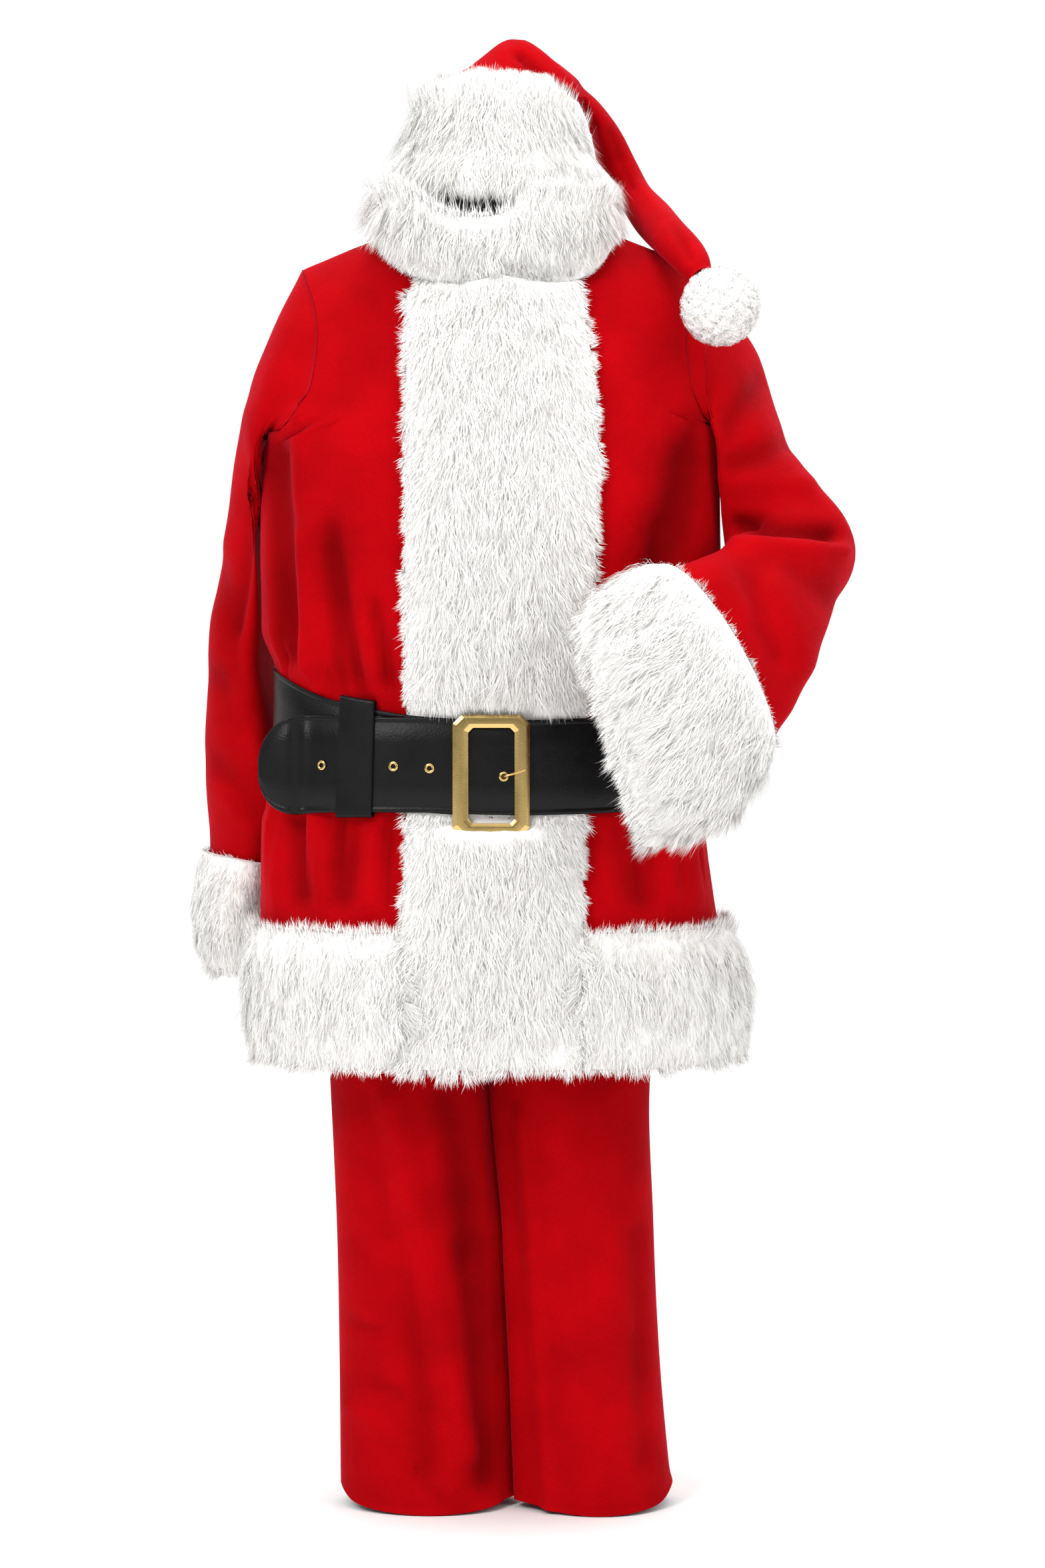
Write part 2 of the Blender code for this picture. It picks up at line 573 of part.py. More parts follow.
def strip_half(side, x_edge):
    """Points and outward directions of a front panel's columns from its centre line to x_edge.

    Its columns are the panel's own, so it follows the panel's faces, and the last two share what is left.
    """
    outer, out = lifted_panel(side, 1)
    near = np.arange(NECK_COLUMNS)
    points, directions = [], []
    for row, row_out, edge in zip(outer, out, x_edge):
        last, beside = row[STRIP_COLUMNS, 0], row[STRIP_COLUMNS - 1, 0]
        wanted = last if side * last < side * edge - STRIP_NARROWEST else (beside + edge) / 2
        share = np.interp([side * wanted, side * edge], side * row[near, 0], near)
        steps = np.concatenate([np.arange(STRIP_COLUMNS), share])
        for found, values in ((points, row), (directions, row_out)):
            found.append([[np.interp(step, near, values[near, axis]) for axis in range(3)] for step in steps])
    return np.array(points), unit(np.array(directions))


def lifted_panel(side, face):
    """A jacket half's outer points and the outward directions there."""
    outer, inner = panel_grids(side, face)
    return outer, unit(outer - inner)


def front_strip():
    """Fur wall down the front from the panels' own points, pressed flat where the belt crosses it."""
    height = lifted_panel(-1, 1)[0][:, 0, 2]
    left_edge, right_edge = strip_edges(height)
    right_half, right_out = strip_half(-1, left_edge)
    left_half, left_out = strip_half(1, right_edge)
    points = np.concatenate([right_half[:, ::-1], left_half[:, 1:]], 1)
    out = np.concatenate([right_out[:, ::-1], left_out[:, 1:]], 1)
    share = np.linspace(0, 1, points.shape[1])[None, :]
    reach = FUR_EDGE + (FUR_REACH - FUR_EDGE) * rounded(share) + 0.0018 * lumps(14 * points[..., 2], 5 * share)
    level = np.array(BODY_LEVELS + [9.0] * ARMHOLE_ROWS)[:, None]
    reach = np.where((level > 0.79) & (level < 0.94), FUR_PRESSED, reach)
    reach = np.where((level > 0.76) & (level < 0.79), 3 * FUR_PRESSED, reach)
    reach[-1] *= 0.7
    inner = points + out * STRIP_GAP
    outer = points + out * (STRIP_GAP + reach[..., None])
    down = np.array([0, 0, 1]) * (HEM_FUR_LOW - BODY_LEVELS[0])
    for grid in (inner, outer):
        grid[0] += down
        grid[-1] += (grid[-2] - grid[-1]) * (0.5 + 0.4 * (2 * share.T - 1) ** 2)
    outer[-1, :, 2] -= 0.006
    add_wall("front_fur", outer, inner, WHITE_FUR)


def hem_band():
    """Fur wall round the hem from the panels' own points, between the strip's two edges."""
    right_front, right_out = lifted_panel(-1, 1)
    left_front, left_out = lifted_panel(1, 1)
    right_back, right_back_out = lifted_panel(-1, -1)
    left_back, left_back_out = lifted_panel(1, -1)
    strip_left, strip_right = strip_edges(right_front[:, 0, 2])
    start, start_out = (grid[:, -1:] for grid in strip_half(1, strip_right + 0.002))
    end, end_out = (grid[:, -1:] for grid in strip_half(-1, strip_left - 0.002))
    ring = np.concatenate([start, left_front[:, 3:-1], left_back[:, ::-1], right_back[:, 1:],
                           right_front[:, -2:2:-1], end], 1)
    out = np.concatenate([start_out, left_out[:, 3:-1], left_back_out[:, ::-1], right_back_out[:, 1:],
                          right_out[:, -2:2:-1], end_out], 1)
    top = ring[HEM_ROWS] + (ring[HEM_ROWS + 1] - ring[HEM_ROWS]) * HEM_TOP_SHARE
    points = np.concatenate([ring[:HEM_ROWS + 1], top[None]])
    out = unit(out[:HEM_ROWS + 2])
    share = (points[..., 2] - BODY_LEVELS[0]) / (HEM_FUR_HIGH - BODY_LEVELS[0])
    column = np.arange(points.shape[1])[None, :]
    reach = (HEM_FUR_EDGE + (HEM_FUR_REACH - HEM_FUR_EDGE) * rounded(0.15 + 0.85 * share)
             + 0.0022 * lumps(0.7 * column, 5 * share))
    reach[:, [0, -1]] *= 0.8
    inner = points + out * LAYER_GAP
    outer = points + out * (LAYER_GAP + reach[..., None])
    down = np.array([0, 0, 1]) * (HEM_FUR_LOW - BODY_LEVELS[0])
    inner[0] += down
    outer[0] += down
    add_wall("hem_fur", outer, inner, WHITE_FUR)


def neck_loop():
    """The neckline's outer points: front right to left, then round the back."""
    loops = []
    for side, face in ((-1, 1), (1, 1), (1, -1), (-1, -1)):
        top = panel_grids(side, face)[0][-1, :NECK_COLUMNS + 1]
        loops.append(top[::-1] if (side, face) in ((-1, 1), (1, -1)) else top)
    return np.concatenate([loop[:-1] for loop in loops])


def collar():
    """Fur wall standing on the neckline up to the hat, dipped in front where a slit shows."""
    foot = neck_loop()
    foot[:, 2] += 0.0024
    out = unit(foot * (1, 1, 0))
    rows = np.linspace(0, 1, 5)[:, None]
    dip = COLLAR_SLIT * np.exp(-(((foot[:, 0] + 0.030) / 0.050) ** 4)) * (foot[:, 1] < 0)
    top = COLLAR_TOP - dip
    height = foot[None, :, 2] + (top - foot[:, 2])[None] * rows
    column = np.arange(len(foot))[None, :]
    reach = COLLAR_WALL * (0.62 + 0.38 * rounded(0.9 * rows)) + 0.0016 * lumps(column, 4 * rows)
    reach = reach - COLLAR_LEAN * foot[None, :, 0] / NECK_HALF_WIDTH
    gather = np.array([-0.002, -0.006, -0.010, -0.012, -0.012])[:, None, None]
    inner = foot[None] * (1, 1, 0) + out[None] * gather
    outer = inner + out[None] * reach[..., None]
    inner[..., 2] = outer[..., 2] = height
    outer[0, :, 2] += 0.005
    add_wall("collar_fur", outer, inner, WHITE_FUR, around=True)


def hat_band():
    turns = np.radians(np.arange(0, 360, 12.0))[None, :]
    rise = np.array([row.rise for row in HAT_BAND])[:, None]
    middle, half_width, half_depth, wall = (
        np.array([getattr(row, name) for row in HAT_BAND])[:, None]
        for name in ("middle", "half_width", "half_depth", "wall"))
    lean = np.clip(np.sin(turns - np.radians(40)), 0, 1)
    height = HAT_BAND_HEIGHT - 0.044 * lean
    z = HAT_BAND_LOW + height * rise
    rough = 0.0016 * lumps(5 * turns, 7 * rise)
    outer = np.stack([middle + (half_width + rough) * np.sin(turns),
                      -(half_depth + rough) * np.cos(turns), z], -1)
    inner = np.stack([middle + (half_width - wall) * np.sin(turns), -(half_depth - wall) * np.cos(turns),
                      z + 0 * turns], -1)
    add_wall("hat_fur_band", outer, inner, WHITE_FUR, around=True)


def hat_crown():
    """Bent cone of velour: rings from inside the band over the peak and down to the pompom.

    Over the peak each ring's thickness lies front to back, and along the tail it is squared to the path.
    """
    share = np.linspace(0, 1, 18)
    left, right = (np.stack([read_along(HAT_CROWN, f"{end}_x", share), read_along(HAT_CROWN, "y", share),
                             read_along(HAT_CROWN, f"{end}_z", share)], -1) for end in ("left", "right"))
    half = read_along(HAT_CROWN, "half", share)[:, None, None]
    middle = (left + right) / 2
    wide_way = (right - left) / 2
    across_path = unit(np.cross(wide_way, np.gradient(middle, axis=0)))
    across_path *= np.where(across_path[:, 1:2] > 0, -1, 1)
    turning = ease((share - CROWN_PEAK_END) / (TAIL_START - CROWN_PEAK_END))[:, None]
    thick_way = unit((1 - turning) * (0.0, -1.0, 0.0) + turning * across_path)
    angle = np.radians(np.arange(0, 360, 360 / 16))[None, :, None]
    points = middle[:, None] + wide_way[:, None] * np.cos(angle) + thick_way[:, None] * half * np.sin(angle)
    normal = unit(np.cross(np.roll(points, -1, 1) - np.roll(points, 1, 1), np.gradient(points, axis=0)))
    if ((points - middle[:, None]) * normal).sum() < 0:
        normal = -normal
    add_wall("hat_crown", points, points - normal * CLOTH, RED_VELOUR, around=True)


def pompom():
    """Ball whose faces each rise into one short lock, so all locks share it as their backing."""
    work = bmesh.new()
    bmesh.ops.create_cube(work, size=2.0)
    bmesh.ops.subdivide_edges(work, edges=work.edges[:], cuts=POMPOM_CUTS, use_grid_fill=True)
    for vert in work.verts:
        vert.co = vert.co.normalized() * POMPOM_CORE
    locks = bmesh.ops.poke(work, faces=work.faces[:])["verts"]
    for number, vert in enumerate(locks):
        uneven = 0.0035 * np.sin(2.4 * number) + 0.0015 * np.sin(5.1 * number)
        vert.co = vert.co.normalized() * (POMPOM_TIP + uneven)
    points = np.array([vert.co for vert in work.verts]) + POMPOM_PLACE
    faces = [[vert.index for vert in face.verts] for face in work.faces]
    work.free()
    add_solid("hat_pompom", points, faces, WHITE_FUR)


def belt_lift(turn):
    """How far the strap's first layer stands off the cloth: it rides over the front fur."""
    return 0.0012 + 0.0034 * np.exp(-((turn / np.radians(46)) ** 4))


def level_at(turn, height):
    """The level whose height at a turn is the one given."""
    return height - belt_rise(turn, height - belt_rise(turn, height))


def strap_layer(turn, level, half, lift):
    """Outer top, outer bottom, inner bottom and inner top of the strap at each turn."""
    corners = []
    for up, extra in ((1, STRAP_THICKNESS), (-1, STRAP_THICKNESS), (-1, 0.0), (1, 0.0)):
        corners.append(torso_lifted(turn, level + up * half, lift + extra))
    return np.stack(corners, -2)


def second_lift(turn):
    """How far the strap's free tail stands off the cloth: it lies on the first layer."""
    climb = ease((np.degrees(-turn) + 25) / 25)
    return belt_lift(turn) + climb * (STRAP_THICKNESS + 0.0006)


def second_level(turn):
    """Level of the tail's middle: it keeps its height while the layer under it climbs."""
    keeps = ease((np.degrees(-turn) + 10) / 30)
    return BELT_MIDDLE + keeps * (level_at(turn, TAIL_HEIGHT) - BELT_MIDDLE)


def strap():
    """One strip from the buckle's bar round the body and back through the buckle to its rounded tail."""
    start = float(turn_at(-0.052, BELT_MIDDLE))
    near = np.arange(-15, -45, -3.75)
    first = np.concatenate([[start], np.radians(near), np.radians(np.arange(-45, -331, -7.5))])
    second = np.radians(np.concatenate([[22.5, 15, 7.5, 0, -7.5], near, np.arange(-45, TAIL_TURN + 4, -7.5),
                                        TAIL_TURN + np.array([3.5, 1.2, 0.0])]))
    from_end = (second - second[-1]) * TAIL_RADIUS + 0.004
    rounding = np.sqrt(np.clip(1 - (1 - np.clip(from_end / STRAP_HALF_HEIGHT, 0, 1)) ** 2, 0, 1))
    wrapped = (first + np.pi) % (2 * np.pi) - np.pi
    loops = np.concatenate([
        strap_layer(first, np.full(len(first), BELT_MIDDLE), STRAP_HALF_HEIGHT, belt_lift(wrapped)),
        strap_layer(second, second_level(second), STRAP_HALF_HEIGHT * rounding, second_lift(second))])
    numbers = np.arange(len(loops) * 4).reshape(-1, 4)
    closed = np.hstack([numbers, numbers[:, :1]])
    faces = [list(face) for face in quads(closed)] + [list(numbers[0][::-1]), list(numbers[-1])]
    add_solid("belt_strap", loops, faces, BLACK_STRAP)


def keeper():
    """Loop round both layers of the strap, left of the buckle, from the layers' own corners."""
    turn = np.radians([-37.5, -33.75, -30.0, -26.25])
    spare = np.array([0.006, 0.007, 0.008, 0.009])[:, None]
    under = strap_layer(turn, np.full(4, BELT_MIDDLE), STRAP_HALF_HEIGHT, belt_lift(turn))
    over = strap_layer(turn, second_level(turn), STRAP_HALF_HEIGHT, second_lift(turn))
    up = unit(under[:, 0] - under[:, 1])
    out = unit(under[:, 0] - under[:, 3])
    drop = under[:, 1, 2:] - over[:, 1, 2:]
    low_back = torso_lifted(turn, level_at(turn, over[:, 1, 2]) - 0.004, 0.0006)
    loops = []
    for wall in (0.0, KEEPER_THICKNESS):
        back_top = under[:, 3] + up * (spare + wall) - out * (0.0004 + 0.6 * wall)
        front_top = over[:, 0] + up * (spare + drop + wall) + out * (0.0010 + wall)
        front_bottom = over[:, 1] - up * (0.004 + wall) + out * (0.0010 + wall)
        back_bottom = low_back + out * (0.0011 - 0.6 * wall) - up * wall
        loops.append(np.stack([back_top, front_top, front_bottom, back_bottom], 1))
    add_wall("belt_keeper", loops[1], loops[0], BLACK_STRAP, around=True)


def buckle_plane():
    """The y of the buckle's back, in front of the strap's second layer."""
    return float(torso(0.0, 0.864)[1]) - BUCKLE_LIFT


def rectangle(middle_x, middle_z, half_width, half_height, cut):
    """Eight corners of a rectangle with cut corners, as x and z."""
    signs = np.array([(1, -1), (1, 1), (-1, 1), (-1, -1)])
    corners = []
    for index, (sx, sz) in enumerate(signs):
        long_first = index % 2 == 0
        pair = [(sx * (half_width - cut), sz * half_height), (sx * half_width, sz * (half_height - cut))]
        corners += pair if long_first else pair[::-1]
    return np.array(corners) + (middle_x, middle_z)


def buckle():
    back, front = buckle_plane(), buckle_plane() - BUCKLE_THICKNESS
    bevel = 0.004
    outline = []
    for inset, y in ((0.0, back), (0.0, front + 0.0015), (bevel, front)):
        outline.append((rectangle(BUCKLE_MIDDLE_X, BUCKLE_HEIGHT, BUCKLE_HALF_WIDTH - inset,
                                  BUCKLE_HALF_HEIGHT - inset, CORNER_CUT), y))
    for inset, y in ((-bevel, front), (0.0, front + 0.0015), (0.0, back)):
        outline.append((rectangle(WINDOW_MIDDLE_X, BUCKLE_HEIGHT, WINDOW_HALF_WIDTH - inset,
                                  WINDOW_HALF_HEIGHT - inset, 0.005), y))
    loops = np.array([np.column_stack([xz[:, 0], np.full(8, y), xz[:, 1]]) for xz, y in outline])
    numbers = np.arange(loops.shape[0] * 8).reshape(-1, 8)
    numbers = np.vstack([numbers, numbers[:1]])
    numbers = np.hstack([numbers, numbers[:, :1]])
    add_solid("buckle_frame", loops, quads(numbers), GOLD)


def tube(name, path, radius, sides, finish):
    """A round rod along a path of points, closed at both ends."""
    path = np.array(path, float)
    along = unit(np.gradient(path, axis=0))
    across = unit(np.cross(along, (0.31, 0.11, 0.94)))
    other = np.cross(along, across)
    angle = np.linspace(0, 2 * np.pi, sides, endpoint=False)[None, :, None]
    rings = path[:, None] + radius * (across[:, None] * np.cos(angle) + other[:, None] * np.sin(angle))
    numbers = np.arange(len(path) * sides).reshape(-1, sides)
    closed = np.hstack([numbers, numbers[:, :1]])
    faces = [list(face) for face in quads(closed)] + [list(numbers[0][::-1]), list(numbers[-1])]
    add_solid(name, rings, faces, finish)


def strap_front(x, height):
    """A point on the outer side of the strap's second layer."""
    turn = turn_at(x, BELT_MIDDLE)
    top, bottom = strap_layer(turn, second_level(turn), STRAP_HALF_HEIGHT, second_lift(turn))[:2]
    share = (height - bottom[2]) / (top[2] - bottom[2])
    return bottom + (top - bottom) * share


def prong():
    root = strap_front(0.003, 0.853)
    front = buckle_plane() - BUCKLE_THICKNESS
    tip_y = front - 0.0017
    path = [(0.003, root[1] - 0.0007, 0.853), (0.003, (root[1] + tip_y) / 2, 0.853),
            (0.006, tip_y - 0.0005, 0.854), (0.016, tip_y - 0.0008, 0.857), (0.029, tip_y, 0.861)]
    tube("buckle_prong", path, 0.0013, 8, GOLD)


def eyelets():
    for number, (x, height) in enumerate(EYELETS, 1):
        middle = strap_front(x, height)
        across = unit(strap_front(x + 0.004, height) - strap_front(x - 0.004, height))
        out = np.cross(across, (0.0, 0.0, 1.0))
        up = np.cross(across, out)
        angle = np.linspace(0, 2 * np.pi, 12, endpoint=False)
        spin = across * np.cos(angle)[:, None] + up * np.sin(angle)[:, None]
        profile = ((0.0056, 0.0004), (0.0056, 0.0010), (0.0040, 0.0017), (0.0026, 0.0012), (0.0026, 0.0004))
        loops = np.array([middle + spin * radius + out * rise for radius, rise in profile])
        numbers = np.arange(len(profile) * 12).reshape(-1, 12)
        numbers = np.vstack([numbers, numbers[:1]])
        numbers = np.hstack([numbers, numbers[:, :1]])
        add_solid(f"belt_eyelet_{number}", loops, quads(numbers), GOLD)


def leg_point(rows, side, face, u, v):
    """A point of a trouser panel: u from inseam or crotch seam to outseam, v from hem to waist."""
    height = v * (WAIST_LOW - 2 * LAYER_GAP)
    middle, half_width = read(rows, "middle", height), read(rows, "half_width", height)
    exponent = 2 / np.interp(height, [0.0, CROTCH_HEIGHT, 0.80], [2.0, 2.1, SQUARENESS])
    division = read(LEG_DIVISION, "x", height)
    inner_share = np.clip((SEAM + side * (division - middle)) / half_width, -1, 1)
    start = np.arcsin(power(inner_share, 1 / exponent))
    turn = start + u * (np.pi / 2 - start)
    x = middle + side * half_width * power(np.sin(turn), exponent)
    y = read(rows, "shift", height) - face * read(rows, "half_depth", height) * power(np.cos(turn), exponent)
    lift = 0.010 * ease((0.03 - height) / 0.03) * np.sin(turn) ** 2
    body_turn = side * turn if face > 0 else side * (np.pi - turn)
    rise = belt_rise(body_turn, np.full_like(body_turn, WAIST_LOW)) * ease((height - 0.74) / (WAIST_LOW - 0.75))
    return np.stack(np.broadcast_arrays(x, y, height + lift + rise), -1)


def trousers():
    u = np.linspace(0, 1, 9)[None, :]
    v = np.concatenate([np.linspace(0, 0.76, 8), [0.825, 0.88, 0.94, 1.0]])[:, None]
    u, v = np.broadcast_arrays(u, v)
    tiny = 1e-3
    for side, rows, word in ((-1, LEG_RIGHT, "right"), (1, LEG_LEFT, "left")):
        for face, place in ((1, "front"), (-1, "back")):
            base = leg_point(rows, side, face, u, v)
            across = (leg_point(rows, side, face, np.minimum(u + tiny, 1), v)
                      - leg_point(rows, side, face, np.maximum(u - tiny, 0), v))
            up = (leg_point(rows, side, face, u, np.minimum(v + tiny, 1))
                  - leg_point(rows, side, face, u, np.maximum(v - tiny, 0)))
            normal = unit(np.cross(across, up)) * side * face
            outer, inner = base.copy(), base - normal * CLOTH
            for edge in ("first", "last"):
                outer, inner = trim(outer, inner, edge)
            add_wall(f"trouser_{place}_{word}", outer, inner, RED_VELOUR)


def waistband():
    """Band that closes the trouser waist, inside the jacket under the belt."""
    turns = np.radians(np.arange(0, 360, 15.0))[None, :]
    level = np.array([WAIST_LOW, WAIST_HIGH])[:, None]
    outer = torso_lifted(turns, level, -CLOTH - LAYER_GAP)
    inner = torso_lifted(turns, level, -CLOTH - LAYER_GAP - WAISTBAND_WALL)
    outer[..., 2] = inner[..., 2] = level + belt_rise(turns, level)
    add_wall("trouser_waistband", outer, inner, RED_VELOUR, around=True)


def main():
    clear_scene()
    jacket_panels()
    sleeves_and_cuffs()
    front_strip()
    hem_band()
    collar()
    hat_band()
    hat_crown()
    pompom()
    strap()
    keeper()
    buckle()
    prong()
    eyelets()
    trousers()
    waistband()


main()
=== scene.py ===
"""Santa suit, the visual model: velour jacket, trousers and hat with long fur trims, belt and buckle.

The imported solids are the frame. Every piece of cloth, fur, strap and metal is a surface worked out
from the same named sizes as its solid, on a finer grid with the folds that the solid leaves out.
Metres, +Z up, the suit faces -Y. Heights in the tables are measured from the trouser hem.
A turn is an angle round the body: 0 at the front, 90 degrees at the wearer's left. A level is a
height that rises and falls with the belt's line where the belt gathers the cloth.
"""

from collections import namedtuple

import bmesh
import bpy
import numpy as np
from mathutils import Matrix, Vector


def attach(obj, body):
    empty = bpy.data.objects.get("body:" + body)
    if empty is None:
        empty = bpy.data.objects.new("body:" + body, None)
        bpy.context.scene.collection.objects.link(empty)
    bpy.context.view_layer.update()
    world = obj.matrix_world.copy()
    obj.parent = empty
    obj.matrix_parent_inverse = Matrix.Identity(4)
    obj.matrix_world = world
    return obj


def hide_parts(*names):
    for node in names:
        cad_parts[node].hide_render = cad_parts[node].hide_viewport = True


bl_info = {
    "name": "Santa suit",
    "version": (1, 0, 0),
    "blender": (4, 5, 0),
    "location": "View3D > Sidebar > Suit",
    "description": "Builds a worn santa suit of velour and long fur around its packed solids",
    "category": "Mesh",
}

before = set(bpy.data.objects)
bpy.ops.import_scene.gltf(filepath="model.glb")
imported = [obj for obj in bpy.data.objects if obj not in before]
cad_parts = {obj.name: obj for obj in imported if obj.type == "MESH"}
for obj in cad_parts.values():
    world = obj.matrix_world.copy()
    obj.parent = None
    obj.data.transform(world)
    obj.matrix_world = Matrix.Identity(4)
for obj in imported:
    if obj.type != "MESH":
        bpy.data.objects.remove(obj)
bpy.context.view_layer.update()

# Heights above the trouser hem
ORIGIN_HEIGHT = 1.450
HEM_FUR_LOW = 0.526
ARMPIT_HEIGHT = 1.233
NECK_POINT_HEIGHT = 1.470
CROTCH_HEIGHT = 0.700
WAIST_LOW, WAIST_HIGH, WAISTBAND_WALL = 0.850, 0.885, 0.003

# Cloth, seams and layers
CLOTH = 0.0025
SEAM = 0.0003
LAYER_GAP = 0.0008
# FOLD_SPAN sets how deep a trough must be for the full painted fold shade.
FOLD_DEPTH, FOLD_SPAN = 1.5, 0.022
RIM_SHARE, STRIP_INSET = 0.8, 0.005
FRONT_ROOM = {-1: 0.035, 1: 0.0}
UPWARDS = np.array([0.0, 0.0, 1.0])
INNER_SLACK = {-1: 0.0, 1: 0.075}
TAIL_FREE_TURN, TAIL_END_X = np.radians(-44), -0.272
SQUARENESS = 2.4

# Shoulders and neck
NECK_HALF_WIDTH = 0.122
SHOULDER_HALF_WIDTH = 0.228
SHOULDER_SLOPE = 0.40
SHOULDER_ROUND = 0.080
NECK_DROP_FRONT, NECK_DROP_BACK = 0.108, 0.066

# Panel grids
HALF_COLUMNS = 12
NECK_COLUMNS = 7
ARMHOLE_ROWS = 8
BODY_LEVELS = [0.536, 0.590, 0.640, 0.690, 0.735, 0.775, 0.806, 0.835, 0.864, 0.893, 0.922, 0.945,
               0.975, 1.030, 1.100, 1.170, 1.233]
BODY_ROWS = len(BODY_LEVELS) - 1
HEM_FUR_HIGH, HEM_FUR_EDGE, HEM_FUR_REACH = 0.676, 0.009, 0.025

# Belt and buckle
STRAP_HALF_HEIGHT, STRAP_THICKNESS = 0.054, 0.0035
TAIL_TURN, KEEPER_THICKNESS = -82.0, 0.0016
BUCKLE_MIDDLE_X, BUCKLE_HEIGHT = -0.011, 0.854
BUCKLE_HALF_WIDTH, BUCKLE_HALF_HEIGHT, BUCKLE_THICKNESS = 0.043, 0.068, 0.004
WINDOW_MIDDLE_X, WINDOW_HALF_WIDTH, WINDOW_HALF_HEIGHT = -0.0105, 0.0255, 0.053
CORNER_CUT = 0.010
BUCKLE_LIFT = 0.0128
EYELETS = ((-0.194, 0.864), (-0.117, 0.864), (-0.078, 0.862), (0.003, 0.853))
FUR_REACH, FUR_EDGE, FUR_PRESSED = 0.020, 0.007, 0.0021

Section = namedtuple("Section", "height middle half_width half_depth shift")
TORSO = [
    Section(0.520, -0.004, 0.268, 0.158, -0.004),
    Section(0.600, -0.006, 0.268, 0.158, -0.004),
    Section(0.700, -0.016, 0.262, 0.154, -0.006),
    Section(0.775, -0.018, 0.2505, 0.1465, -0.009),
    Section(0.808, -0.017, 0.244, 0.144, -0.010),
    Section(0.864, -0.016, 0.242, 0.143, -0.010),
    Section(0.922, -0.015, 0.244, 0.144, -0.010),
    Section(0.965, -0.014, 0.257, 0.154, -0.013),
    Section(1.060, -0.013, 0.263, 0.157, -0.015),
    Section(1.160, -0.013, 0.263, 0.155, -0.014),
    Section(1.233, -0.012, 0.260, 0.148, -0.011),
    Section(1.330, -0.004, 0.252, 0.133, -0.006),
    Section(1.365, 0.000, 0.250, 0.122, -0.004),
    Section(1.400, 0.000, 0.250, 0.112, -0.002),
    Section(1.480, 0.000, 0.250, 0.092, 0.000),
]

Armhole = namedtuple("Armhole", "height distance")
ARMHOLE = [
    Armhole(1.233, 0.262),
    Armhole(1.246, 0.244),
    Armhole(1.272, 0.222),
    Armhole(1.320, 0.209),
    Armhole(1.375, 0.210),
    Armhole(1.428, 0.228),
]

BeltLevel = namedtuple("BeltLevel", "turn height")
BELT_LINE = [
    BeltLevel(-240, 0.900),
    BeltLevel(-180, 0.916),
    BeltLevel(-120, 0.924),
    BeltLevel(-75, 0.914),
    BeltLevel(-40, 0.884),
    BeltLevel(-10, 0.865),
    BeltLevel(20, 0.864),
    BeltLevel(60, 0.872),
    BeltLevel(120, 0.900),
    BeltLevel(180, 0.916),
    BeltLevel(240, 0.924),
]
TAIL_HEIGHT = 0.866
BELT_MIDDLE = 0.864

# Largest folds as seen from the front and, for the back, from the front too: x and height of both ends
Fold = namedtuple("Fold", "x1 height1 x2 height2 width rise")
FRONT_FOLDS = [
    Fold(-0.256, 1.215, -0.238, 0.985, 0.014, -0.012),
    Fold(-0.214, 1.120, -0.208, 0.985, 0.018, 0.007),
    Fold(-0.190, 1.125, -0.168, 0.960, 0.014, -0.008),
    Fold(-0.142, 1.040, -0.130, 0.960, 0.012, -0.007),
    Fold(0.205, 1.210, 0.180, 1.080, 0.022, -0.006),
    Fold(-0.232, 0.795, -0.226, 0.715, 0.015, -0.007),
    Fold(-0.180, 0.800, -0.178, 0.712, 0.014, -0.006),
    Fold(0.150, 0.800, 0.160, 0.712, 0.018, -0.006),
    Fold(0.205, 0.790, 0.218, 0.712, 0.015, 0.005),
]
BACK_FOLDS = [
    Fold(-0.185, 1.150, -0.165, 0.965, 0.018, -0.009),
    Fold(-0.090, 1.090, -0.080, 0.965, 0.016, -0.008),
    Fold(0.010, 1.120, 0.005, 0.965, 0.020, -0.009),
    Fold(0.095, 1.060, 0.090, 0.965, 0.016, -0.007),
    Fold(0.190, 1.170, 0.170, 0.965, 0.018, -0.010),
    Fold(-0.150, 0.840, -0.160, 0.715, 0.018, -0.008),
    Fold(-0.050, 0.840, -0.055, 0.715, 0.018, -0.007),
    Fold(0.060, 0.840, 0.070, 0.715, 0.018, -0.008),
    Fold(0.160, 0.840, 0.175, 0.715, 0.018, -0.007),
]

# Sleeve rings: the outer and inner ends of each ring's long way, and half its thickness
Ring = namedtuple("Ring", "outer_x outer_y outer_z inner_x inner_y inner_z half")
SLEEVE_RIGHT = [
    Ring(-0.228, 0.000, 1.428, -0.266, -0.004, 1.233, 0.100),
    Ring(-0.257, 0.004, 1.372, -0.288, 0.006, 1.208, 0.094),
    Ring(-0.286, 0.016, 1.304, -0.284, 0.030, 1.160, 0.086),
    Ring(-0.303, 0.036, 1.225, -0.268, 0.058, 1.106, 0.078),
    Ring(-0.318, 0.054, 1.125, -0.256, 0.082, 1.046, 0.070),
    Ring(-0.338, 0.066, 1.026, -0.251, 0.098, 0.985, 0.066),
    Ring(-0.345, 0.074, 0.930, -0.246, 0.104, 0.900, 0.066),
    Ring(-0.345, 0.088, 0.840, -0.250, 0.124, 0.820, 0.066),
    Ring(-0.339, 0.104, 0.755, -0.258, 0.144, 0.745, 0.064),
    Ring(-0.338, 0.114, 0.690, -0.262, 0.156, 0.682, 0.062),
    Ring(-0.338, 0.118, 0.622, -0.264, 0.160, 0.616, 0.062),
]
